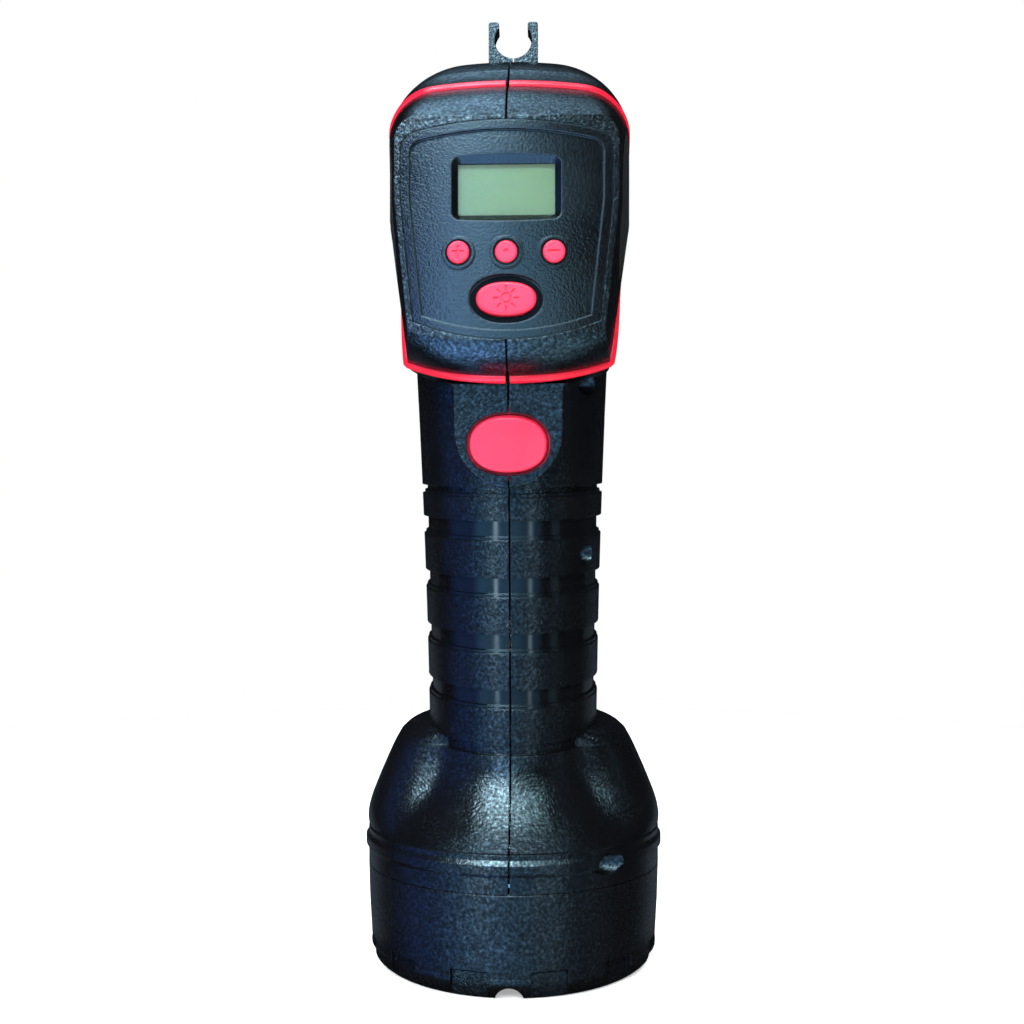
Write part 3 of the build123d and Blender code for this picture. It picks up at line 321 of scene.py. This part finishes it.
def soft_red(name, colour, roughness, rounding=0.3):
    """Red moulding that lets a little light in. Small shapes take a smaller rounding."""
    look = Look(name, colour, roughness)
    look.soften(rounding)
    look.vary(0.06, 6)
    look.bump(look.noise(0.5, 2), 0.03, 0.4)
    look.mottle((colour[0] * 0.86, colour[1] * 0.75, colour[2] * 0.8), 9)
    look.edge_rub_and_highlight((min(1, colour[0] * 1.15), colour[1] * 2.2, colour[2] * 2.0), rounding * 0.8, 0.4)
    look.shader.inputs["Subsurface Weight"].default_value = 0.08
    look.shader.inputs["Subsurface Scale"].default_value = 0.6 * MM
    return look.done()


def metal(name, colour, roughness, brushed=False):
    """Bare or plated metal with fine scratches."""
    look = Look(name, colour, roughness, metallic=1.0)
    look.soften(0.12)
    look.vary(0.08, 2.5)
    look.bump(look.noise(0.25, 2, (6, 1, 1) if brushed else (1, 1, 1)), 0.012, 0.5)
    look.mottle([c * 0.7 for c in colour], 3)
    return look.done()


def moulded(name, colour, roughness, grain_mm=0.35):
    """Plain engineering plastic, rubber or ceramic."""
    look = Look(name, colour, roughness)
    look.soften(0.2)
    look.vary(0.06, 5)
    look.bump(look.noise(grain_mm, 3), 0.03, 0.5)
    look.mottle([c * 0.75 for c in colour], 4)
    look.edge_rub_and_highlight([min(1, c * 1.5 + 0.03) for c in colour], 0.25, 0.4)
    return look.done()


def clear(name, colour, roughness, index):
    """Solid clear glass or acrylic with a refractive index."""
    look = Look(name, colour, roughness)
    look.shader.inputs["Transmission Weight"].default_value = 1.0
    look.shader.inputs["IOR"].default_value = index
    look.vary(0.02, 8)
    look.bump(look.noise(3.0, 2), 0.01, 0.15)
    return look.done()


def pane(name):
    """Thin clear acrylic that lets the display show through."""
    look = Look(name, (0.30, 0.42, 0.36), 0.08)
    look.vary(0.03, 8)
    look.bump(look.noise(3.0, 2), 0.01, 0.15)
    look.shader.inputs["Alpha"].default_value = 0.16
    return look.done()


def circuit(name):
    """Green solder mask over copper tracks, rubbed to bare copper at the board's edges."""
    mask, track = (0.02, 0.16, 0.06), (0.06, 0.30, 0.12)
    look = Look(name, mask, 0.35)
    look.soften(0.15)
    tracks = look.add("ShaderNodeTexBrick", Scale=900.0)
    look.feed(tracks.inputs["Vector"], look.place)
    lines = look.between(tracks.outputs["Fac"], 0.4, 0.6)
    look.colour = look.mix(lines, (*mask, 1), (*track, 1))
    look.bump(lines, 0.03, 0.6)
    look.vary(0.08, 5)
    look.edge_rub_and_highlight((0.5, 0.45, 0.25), 0.2, 0.5)
    return look.done()


def display_glass(name):
    """Grey-green liquid crystal with a slightly darker rim and faint cloudy patches."""
    look = Look(name, LCD_GREEN, 0.22)
    low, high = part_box("lcd_module")
    split = look.add("ShaderNodeSeparateXYZ")
    look.feed(split.inputs[0], look.place)
    half_width, half_height = (high.x - low.x) / 2, (high.z - low.z) / 2
    centre = (low + high) / 2
    across = look.math("ABSOLUTE", look.math("SUBTRACT", split.outputs[0], centre.x))
    up = look.math("ABSOLUTE", look.math("SUBTRACT", split.outputs[2], centre.z))
    edge = look.math(
        "MAXIMUM",
        look.math("DIVIDE", across, half_width),
        look.math("DIVIDE", up, half_height),
    )
    rim = look.between(edge, 0.55, 0.95)
    look.colour = look.mix(rim, (*LCD_GREEN, 1), (*[c * 0.8 for c in LCD_GREEN], 1))
    look.mottle([c * 0.93 for c in LCD_GREEN], 7)
    look.vary(0.04, 6)
    look.bump(look.noise(0.3, 2), 0.01, 0.2)
    return look.done()


def wound(name, colour, pitch_mm):
    """Wire wound in close turns round the grip's axis direction."""
    look = Look(name, colour, 0.3, metallic=0.85)
    height = grip_height(look)
    turns = look.math("SINE", look.math("MULTIPLY", height, 2 * pi / pitch_mm))
    look.bump(turns, 0.08, 0.8)
    look.vary(0.08, 3)
    look.mottle([c * 0.6 for c in colour], 2)
    return look.done()


looks = {
    "housing_black": black_shell("housing_black", 0.25, grooves=True),
    "panel_black": panel_shell("panel_black", 0.19),
    "boot_black": black_shell("boot_black", 0.3),
    "side_plate": moulded("side_plate", (0.020, 0.017, 0.015), 0.5),
    "trim_red": soft_red("trim_red", (0.72, 0.012, 0.035), 0.22),
    "button_red": soft_red("button_red", BUTTON, 0.34),
    "clear_window": pane("clear_window"),
    "clear_lens": clear("clear_lens", (0.97, 0.98, 0.99), 0.03, 1.5),
    "tube_glass": clear("tube_glass", (0.95, 0.97, 1.0), 0.03, 1.46),
    "lcd_glass": display_glass("lcd_glass"),
    "white_nylon": moulded("white_nylon", (0.75, 0.76, 0.72), 0.45),
    "zinc_screw": metal("zinc_screw", (0.62, 0.62, 0.60), 0.28),
    "gasket_rubber": moulded("gasket_rubber", (0.02, 0.02, 0.02), 0.7, 0.6),
    "mirror_coat": metal("mirror_coat", (0.92, 0.92, 0.93), 0.06),
    "nickel": metal("nickel", (0.66, 0.63, 0.58), 0.2),
    "ceramic_white": moulded("ceramic_white", (0.82, 0.80, 0.75), 0.5),
    "circuit_board": circuit("circuit_board"),
    "chip_epoxy": moulded("chip_epoxy", (0.03, 0.03, 0.032), 0.5),
    "switch_black": moulded("switch_black", (0.04, 0.04, 0.042), 0.45),
    "spring_steel": metal("spring_steel", (0.56, 0.56, 0.57), 0.25, brushed=True),
    "ferrite": moulded("ferrite", (0.07, 0.07, 0.075), 0.6, 0.8),
    "copper_wire": wound("copper_wire", (0.72, 0.28, 0.10), 0.45),
    "capacitor_sleeve": moulded("capacitor_sleeve", (0.02, 0.04, 0.16), 0.25),
    "coil_tape": wound("coil_tape", (0.75, 0.52, 0.10), 1.2),
    "socket_black": moulded("socket_black", (0.025, 0.025, 0.028), 0.4),
    "brass_contact": metal("brass_contact", (0.78, 0.56, 0.22), 0.22),
    "ribbon_grey": moulded("ribbon_grey", (0.36, 0.36, 0.38), 0.45),
    "wire_white": moulded("wire_white", (0.78, 0.78, 0.75), 0.5),
    "wire_red": moulded("wire_red", (0.55, 0.03, 0.03), 0.5),
}

# The keys' engraved signs are finer than the rounding that the other red pieces have.
small_key_red = soft_red("small_key_red", BUTTON, 0.34, rounding=0.07)

slot_of = {row["node"]: row["material_slot"] for row in frame["record"]["subparts"]}
for node, thing in nodes.items():
    thing.data.materials.clear()
    thing.data.materials.append(looks[slot_of[node]])


# ---------------------------------------------------------------- building pieces
def new_object(name, bm):
    """A scene object with the mesh of a bmesh, which it uses up."""
    mesh = bpy.data.meshes.new(name)
    bm.to_mesh(mesh)
    bm.free()
    thing = bpy.data.objects.new(name, mesh)
    bpy.context.scene.collection.objects.link(thing)
    return thing


def piece(name, bm, slot, body="base"):
    """A new piece from a bmesh, with its material, riding on a body."""
    thing = new_object(name, bm)
    thing.data.materials.append(looks[slot])
    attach(thing, body)
    return thing


def smooth(thing, angle):
    """Smooth shading that keeps edges sharper than angle."""
    for polygon in thing.data.polygons:
        polygon.use_smooth = True
    thing.data.set_sharp_from_angle(angle=radians(angle))
    return thing


def sweep(bm, path, sides, section):
    """Skins a closed section along a path and caps its ends.

    sides gives the two directions (across, out) at each point of the path, and section is a
    list of (across, out) distances.
    """
    rows = []
    for point, (across, out) in zip(path, sides):
        rows.append([bm.verts.new(point + across * a + out * o) for a, o in section])
    count = len(section)
    for first, second in zip(rows, rows[1:]):
        for k in range(count):
            n = (k + 1) % count
            bm.faces.new((first[k], first[n], second[n], second[k]))
    bm.faces.new(list(reversed(rows[0])))
    bm.faces.new(rows[-1])
    bmesh.ops.recalc_face_normals(bm, faces=bm.faces)


def tree_of(*names):
    """A ray-casting tree over CAD nodes."""
    bm = bmesh.new()
    for name in names:
        bm.from_mesh(nodes[name].data)
    tree = BVHTree.FromBMesh(bm)
    bm.free()
    return tree


# ---------------------------------------------------------------- red trim bead
# Seen from the side, the trim follows one circle that wraps round the head.
TRIM_RADIUS = 40.0 * MM
TRIM_CENTRE = Vector((0, -66.5, 182.2)) * MM
TRIM_EDGE = 0.95 * MM  # from the middle of the trim to where its tilt is measured
HEAD_CENTRE_Z = 185 * MM
OUTSIDE = 90 * MM  # far enough from the head's middle to be clear of it
SETTLE_ROUNDS = 24
BEAD_STEPS = 120
# First guess of the trim's height above and below the head's middle.
REACH_UP = 30 * MM
REACH_DOWN = 40 * MM
# The bead sinks beside the widest part of the head. The angles are degrees up from its middle.
SINK = 1.1 * MM
SINK_CENTRE = 8
SINK_HALF_SPREAD = 22
SINK_FADE = 34
# Half the bead's section, from its buried edge to its crown: (across, out) in millimetres.
BEAD_FLANK = [(-1.4, -1.9), (-1.4, -0.8), (-1.3, -0.35), (-1.0, 0.05), (-0.55, 0.26)]
BEAD_CROWN = (0, 0.33)


def on_trim(tree, turn, shift):
    """The trim's outer face at an angle round the head, shifted across its width."""
    out = Vector((cos(turn), 0, sin(turn)))
    z = HEAD_CENTRE_Z + (REACH_UP if sin(turn) > 0 else REACH_DOWN) * sin(turn)
    hit = None
    for _ in range(SETTLE_ROUNDS):
        reach = TRIM_RADIUS + shift
        y = TRIM_CENTRE.y + sqrt(max(reach**2 - (z - TRIM_CENTRE.z) ** 2, 0))
        start = Vector((0, y, HEAD_CENTRE_Z)) + out * OUTSIDE
        hit = tree.ray_cast(start, -out)[0]
        if hit is None:
            return None
        z = 0.5 * (z + hit.z)
    return hit


def bead_sink(turn):
    """How far the bead sinks into its seat beside the widest part of the head."""
    rise = degrees(asin(sin(turn)))
    off = abs(rise - SINK_CENTRE) - SINK_HALF_SPREAD
    share = min(max(1 - off / SINK_FADE, 0), 1)
    return SINK * share * share * (3 - 2 * share)


def trim_bead(side, name, node):
    """The half-round bead on one side of the head, from the seam below to the seam above."""
    tree = tree_of(node, "left_housing", "right_housing")
    path, sides, sinks = [], [], []
    for step in range(BEAD_STEPS + 1):
        turn = -pi / 2 + pi * (step + 0.5) / (BEAD_STEPS + 1)
        turn = turn if side > 0 else pi - turn
        centre = on_trim(tree, turn, 0)
        front = on_trim(tree, turn, -TRIM_EDGE)
        back = on_trim(tree, turn, TRIM_EDGE)
        if centre is None or front is None or back is None:
            continue
        path.append(centre)
        sides.append((back - front).normalized())
        sinks.append(bead_sink(turn))
    frames = []
    for k, across in enumerate(sides):
        along = path[min(k + 1, len(path) - 1)] - path[max(k - 1, 0)]
        out = along.cross(across).normalized()
        if out.dot(path[k] - Vector((0, path[k].y, HEAD_CENTRE_Z))) < 0:
            out = -out
        frames.append((across, out))
    path = [point - out * sink for point, (_, out), sink in zip(path, frames, sinks)]
    other_flank = [(-across, out) for across, out in reversed(BEAD_FLANK)]
    section = [(across * MM, out * MM) for across, out in (*BEAD_FLANK, BEAD_CROWN, *other_flank)]
    bm = bmesh.new()
    sweep(bm, path, frames, section)
    bead = smooth(piece(name, bm, "trim_red"), 60)
    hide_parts(node)


trim_bead(1, "right_trim_bead", "right_trim")
trim_bead(-1, "left_trim_bead", "left_trim")


# ---------------------------------------------------------------- engraved signs on the keys
SIGN_DEPTH = 0.4 * MM
STAND_OFF = 1 * MM  # how far a cutting plug starts in front of the key


def prism(bm, outline, front_y):
    """A straight-sided cutting plug with an outline in x and z."""
    front = [bm.verts.new((x, front_y - STAND_OFF, z)) for x, z in outline]
    back = [bm.verts.new((x, front_y + SIGN_DEPTH, z)) for x, z in outline]
    bm.faces.new(front)
    bm.faces.new(list(reversed(back)))
    count = len(outline)
    for k in range(count):
        n = (k + 1) % count
        bm.faces.new((front[n], front[k], back[k], back[n]))


def turned(centre, turn, along, aside):
    """The x and z of a point in a frame that is turned about a key's centre."""
    x = centre.x + along * cos(turn) - aside * sin(turn)
    z = centre.z + along * sin(turn) + aside * cos(turn)
    return x, z


def bar(bm, centre, turn, length, width, front_y):
    """A rounded bar cut into a key's face."""
    outline = []
    for end in (1, -1):
        for step in range(7):
            a = -pi / 2 + pi * step / 6 + (0 if end > 0 else pi)
            along = end * (length - width) / 2 + width / 2 * cos(a)
            outline.append(turned(centre, turn, along, width / 2 * sin(a)))
    prism(bm, outline, front_y)


def disc(bm, centre, radius, front_y, inner=None):
    """A round plug, or a ring when inner is given, cut into a key's face."""
    count = 40
    circle = [(cos(2 * pi * k / count), sin(2 * pi * k / count)) for k in range(count)]
    outline = [(centre.x + radius * c, centre.z + radius * s) for c, s in circle]
    if inner is None:
        prism(bm, outline, front_y)
        return
    rings = []
    for y in (front_y - STAND_OFF, front_y + SIGN_DEPTH):
        rings.append([bm.verts.new((x, y, z)) for x, z in outline])
        rings.append([bm.verts.new((centre.x + inner * c, y, centre.z + inner * s)) for c, s in circle])
    outer_front, inner_front, outer_back, inner_back = rings
    for k in range(count):
        n = (k + 1) % count
        bm.faces.new((outer_front[k], outer_front[n], inner_front[n], inner_front[k]))
        bm.faces.new((outer_back[n], outer_back[k], inner_back[k], inner_back[n]))
        bm.faces.new((outer_front[n], outer_front[k], outer_back[k], outer_back[n]))
        bm.faces.new((inner_front[k], inner_front[n], inner_back[n], inner_back[k]))


def engrave(node, draw):
    """A copy of a key with its sign cut in. draw adds the cutting plugs to a bmesh."""
    cutter_bm = bmesh.new()
    draw(cutter_bm, middle(node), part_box(node)[0].y)
    bmesh.ops.recalc_face_normals(cutter_bm, faces=cutter_bm.faces)
    cutter = new_object("cutter", cutter_bm)
    bm = bmesh.new()
    bm.from_mesh(nodes[node].data)
    bmesh.ops.remove_doubles(bm, verts=bm.verts, dist=1e-6)
    key = piece(node + "_cap", bm, "button_red", node)
    modifier = key.modifiers.new("sign", "BOOLEAN")
    modifier.object = cutter
    modifier.operation = "DIFFERENCE"
    modifier.solver = "EXACT"
    bpy.context.view_layer.update()
    depsgraph = bpy.context.evaluated_depsgraph_get()
    made = bpy.data.meshes.new_from_object(key.evaluated_get(depsgraph))
    key.modifiers.clear()
    key.data = made
    made.materials.clear()
    made.materials.append(small_key_red)
    bpy.data.objects.remove(cutter)
    smooth(key, 32)
    # The large flat faces stay flat, or the sign's edges would bend their shading.
    for polygon in made.polygons:
        if abs(polygon.normal.y) > 0.999:
            polygon.use_smooth = False
    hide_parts(node)


def plus_sign(bm, centre, front_y):
    reach, half = 1.4 * MM, 0.28 * MM
    outline = []
    for quarter in range(4):
        for along, aside in ((half, half), (reach, half), (reach, -half)):
            outline.append(turned(centre, -quarter * pi / 2, along, aside))
    prism(bm, outline, front_y)


def minus_sign(bm, centre, front_y):
    bar(bm, centre, 0, 2.8 * MM, 0.56 * MM, front_y)


def dot_sign(bm, centre, front_y):
    disc(bm, centre, 0.55 * MM, front_y)


def sun_sign(bm, centre, front_y):
    disc(bm, centre, 1.3 * MM, front_y, inner=0.75 * MM)
    ray_middle = 2.3 * MM
    for ray in range(8):
        turn = 2 * pi * ray / 8
        place = centre + Vector((cos(turn), 0, sin(turn))) * ray_middle
        bar(bm, place, turn, 1.25 * MM, 0.5 * MM, front_y)


engrave("plus_button", plus_sign)
engrave("minus_button", minus_sign)
engrave("mode_button", dot_sign)
engrave("backlight_button", sun_sign)

# ---------------------------------------------------------------- shading of the CAD pieces
for thing in nodes.values():
    if not thing.hide_render:
        smooth(thing, 28)

# ---------------------------------------------------------------- stage
FLOOR_RADIUS = 0.55
# Radius of the painted shadow that gloss sees under the object.
CONTACT_SHADOW_RADIUS = 0.048  # of the dark patch under the object


def floor_paper():
    """White paper. Gloss sees through it to the studio, apart from a painted shadow under the object: a near-black
    patch in its place.
    """
    look = Look("floor_paper", (0.90, 0.90, 0.90), 0.8, specular=0.1)
    look.bump(look.noise(1.5, 3), 0.05, 0.2)
    look.shader.inputs["Emission Color"].default_value = (1, 1, 1, 1)
    look.shader.inputs["Emission Strength"].default_value = 0.35
    paper = look.done()
    away = look.add("ShaderNodeVectorMath", operation="LENGTH")
    look.feed(away.inputs[0], look.place)
    reflected = look.add("ShaderNodeMixShader")
    look.feed(reflected.inputs[0], look.math("LESS_THAN", away.outputs["Value"], CONTACT_SHADOW_RADIUS))
    look.feed(reflected.inputs[1], look.add("ShaderNodeBsdfTransparent").outputs[0])
    # Painted shadow: gloss sees a near-black patch on the floor under the object.
    painted_shadow_patch = look.add("ShaderNodeBsdfDiffuse", Color=(0.01, 0.01, 0.01, 1))
    look.feed(reflected.inputs[2], painted_shadow_patch.outputs[0])
    chooser = look.add("ShaderNodeMixShader")
    look.feed(chooser.inputs[0], look.add("ShaderNodeLightPath").outputs["Is Glossy Ray"])
    look.feed(chooser.inputs[1], look.shader.outputs[0])
    look.feed(chooser.inputs[2], reflected.outputs[0])
    look.feed(look.tree.nodes["Material Output"].inputs["Surface"], chooser.outputs[0])
    return paper


floor_bm = bmesh.new()
bmesh.ops.create_circle(floor_bm, cap_ends=True, segments=96, radius=FLOOR_RADIUS)
floor = new_object("floor", floor_bm)
floor.location.z = cad_low.z
floor.data.materials.append(floor_paper())


# ---------------------------------------------------------------- studio seen by gloss
class Studio:
    """The world: plain white behind the object, soft light on it, and softboxes in its gloss.

    Directions are a bearing, 0 towards the front and positive to the right, and a height above
    the horizon.
    """

    def __init__(self):
        self.world = bpy.data.worlds.new("studio")
        self.world.use_nodes = True
        bpy.context.scene.world = self.world
        self.tree = self.world.node_tree
        for node in list(self.tree.nodes):
            self.tree.nodes.remove(node)
        towards = self.tree.nodes.new("ShaderNodeTexCoord").outputs["Generated"]
        split = self.tree.nodes.new("ShaderNodeSeparateXYZ")
        self.tree.links.new(towards, split.inputs[0])
        self.x, self.y, self.z = split.outputs
        ahead = self.math("MULTIPLY", self.y, -1)
        self.bearing = self.math("ARCTAN2", self.x, ahead)
        self.height = self.math("ARCSINE", self.z)
        self.total = None

    def math(self, operation, *values):
        node = self.tree.nodes.new("ShaderNodeMath")
        node.operation = operation
        for socket, value in zip(node.inputs, values):
            if isinstance(value, bpy.types.NodeSocket):
                self.tree.links.new(value, socket)
            else:
                socket.default_value = value
        return node.outputs[0]

    def inside(self, value, low, high, soft):
        """1 between two angles in degrees, with edges soft degrees wide."""
        node = self.tree.nodes.new("ShaderNodeMapRange")
        node.interpolation_type = "SMOOTHSTEP"
        centre = radians((low + high) / 2)
        off = self.math("ABSOLUTE", self.math("SUBTRACT", value, centre))
        half = radians((high - low) / 2)
        self.tree.links.new(off, node.inputs[0])
        node.inputs[1].default_value = half - radians(soft) / 2
        node.inputs[2].default_value = half + radians(soft) / 2
        node.inputs[3].default_value = 1
        node.inputs[4].default_value = 0
        return node.outputs[0]

    def box(self, bearings, heights, light, soft=6):
        """A soft-edged light between two bearings and two heights, in degrees."""
        share = self.math(
            "MULTIPLY",
            self.inside(self.bearing, *bearings, soft),
            self.inside(self.height, *heights, soft),
        )
        scale = self.tree.nodes.new("ShaderNodeVectorMath")
        scale.operation = "SCALE"
        scale.inputs[0].default_value = light
        self.tree.links.new(share, scale.inputs["Scale"])
        if self.total is None:
            self.total = scale.outputs[0]
            return
        sum_node = self.tree.nodes.new("ShaderNodeVectorMath")
        sum_node.operation = "ADD"
        self.tree.links.new(self.total, sum_node.inputs[0])
        self.tree.links.new(scale.outputs[0], sum_node.inputs[1])
        self.total = sum_node.outputs[0]

    def background(self, colour):
        """A background shader of a plain or linked colour."""
        node = self.tree.nodes.new("ShaderNodeBackground")
        if isinstance(colour, bpy.types.NodeSocket):
            self.tree.links.new(colour, node.inputs["Color"])
        else:
            node.inputs["Color"].default_value = (*colour, 1)
        return node.outputs[0]

    def done(self, soft_light):
        """Splits the world by ray: white for the camera, the boxes for gloss, else soft_light."""
        rays = self.tree.nodes.new("ShaderNodeLightPath")
        glossy = self.tree.nodes.new("ShaderNodeMixShader")
        seen = self.tree.nodes.new("ShaderNodeMixShader")
        result = self.tree.nodes.new("ShaderNodeOutputWorld")
        link = self.tree.links.new
        link(rays.outputs["Is Glossy Ray"], glossy.inputs[0])
        link(self.background(soft_light), glossy.inputs[1])
        link(self.background(self.total), glossy.inputs[2])
        link(rays.outputs["Is Camera Ray"], seen.inputs[0])
        link(glossy.outputs[0], seen.inputs[1])
        link(self.background((1, 1, 1)), seen.inputs[2])
        link(seen.outputs[0], result.inputs[0])


studio = Studio()
studio.box((-180, 180), (-90, 90), (0.008, 0.009, 0.012))
# Dim fill below the horizon, brighter further down and on the left.
studio.box((-52, 16), (-24, 3), (0.24, 0.72, 1.30), soft=16)
studio.box((16, 44), (-24, 3), (0.09, 0.30, 0.52), soft=10)
studio.box((-50, 0), (-60, -26), (0.5, 1.2, 2.4), soft=8)
studio.box((0, 44), (-60, -26), (0.3, 0.6, 0.8), soft=8)
studio.box((-180, 0), (-90, -60), (1.2, 2.9, 6.0), soft=8)
studio.box((0, 180), (-90, -60), (0.7, 1.5, 2.0), soft=8)
# Two narrow upright lights that only the polished grooves show clearly.
studio.box((-25, -20), (-22, 2), (3.2, 4.6, 5.2), soft=1.5)
studio.box((26, 31), (-22, 2), (1.8, 2.5, 2.9), soft=1.5)
# What the upright control panel sees: a bright middle between darker sides.
studio.box((-19, 10), (3, 19), (0.9, 2.3, 3.6), soft=5)
studio.box((-21, -15), (4, 15), (2.6, 4.8, 9.5), soft=4)
studio.box((9, 14), (4, 15), (1.3, 1.9, 1.7), soft=4)
studio.box((-34, -19), (3, 22), (0.10, 0.3, 1.2), soft=6)
studio.box((-19, -2), (18, 24), (3.0, 5.6, 8.6), soft=4)
studio.box((-38, 0), (28, 40), (9.5, 15.5, 18.5), soft=6)
# The main window, high on the left of the middle.
studio.box((-38, 7), (38, 62), (7.5, 12.0, 14.5), soft=6)
studio.box((7, 40), (34, 60), (2.6, 4.8, 5.6), soft=6)
studio.box((-180, 0), (68, 90), (1.8, 3.3, 4.7), soft=6)
studio.box((0, 180), (68, 90), (0.6, 1.1, 1.5), soft=6)
# Dim tall lights at the sides and strips behind.
studio.box((-92, -48), (-50, 30), (0.05, 0.16, 0.62), soft=24)
studio.box((60, 72), (-30, 30), (0.12, 0.22, 0.3))
studio.box((120, 190), (54, 66), (0.14, 0.2, 0.25), soft=8)
studio.box((-190, -120), (54, 66), (0.2, 0.35, 0.45), soft=8)
studio.box((125, 160), (-30, -4), (0.10, 0.13, 0.16), soft=12)
studio.box((-160, -125), (-30, -4), (0.10, 0.13, 0.16), soft=12)
studio.done((0.62, 0.64, 0.68))


def softbox(name, place, target, size, power, colour):
    """A rectangular area light that looks at a target and stays out of the reflections."""
    data = bpy.data.lights.new(name, "AREA")
    data.shape = "RECTANGLE"
    data.size, data.size_y = size
    data.energy = power
    data.color = colour
    lamp = bpy.data.objects.new(name, data)
    lamp.location = place
    lamp.rotation_euler = (Vector(target) - Vector(place)).to_track_quat("-Z", "Y").to_euler()
    lamp.visible_glossy = False
    bpy.context.scene.collection.objects.link(lamp)


heart = (0, 0, 0.13)
softbox("front_top", (-0.12, -0.80, 0.62), heart, (0.85, 0.36), 13, (0.95, 0.98, 1.0))
softbox("left_tall", (-0.80, -0.55, 0.22), heart, (0.26, 0.70), 3.0, (0.85, 0.93, 1.0))
softbox("overhead", (0, 0.1, 1.3), heart, (1.2, 1.2), 10, (1.0, 1.0, 1.0))
softbox("back_left", (-0.8, 0.8, 0.5), heart, (0.3, 0.9), 5, (0.95, 0.98, 1.0))
softbox("back_right", (0.8, 0.8, 0.5), heart, (0.3, 0.9), 5, (1.0, 0.98, 0.95))

# ---------------------------------------------------------------- camera
camera_data = bpy.data.cameras.new("camera")
camera_data.sensor_width = 36
camera_data.lens = 38.7
camera_data.shift_y = 0.0635
camera_data.clip_start = 0.01
camera = bpy.data.objects.new("camera", camera_data)
camera.location = Vector((8.8, -301.9, 102)) * MM
camera.rotation_euler = (radians(90), 0, radians(1.75))
bpy.context.scene.collection.objects.link(camera)
bpy.context.scene.camera = camera

bpy.context.scene.view_settings.view_transform = "Standard"
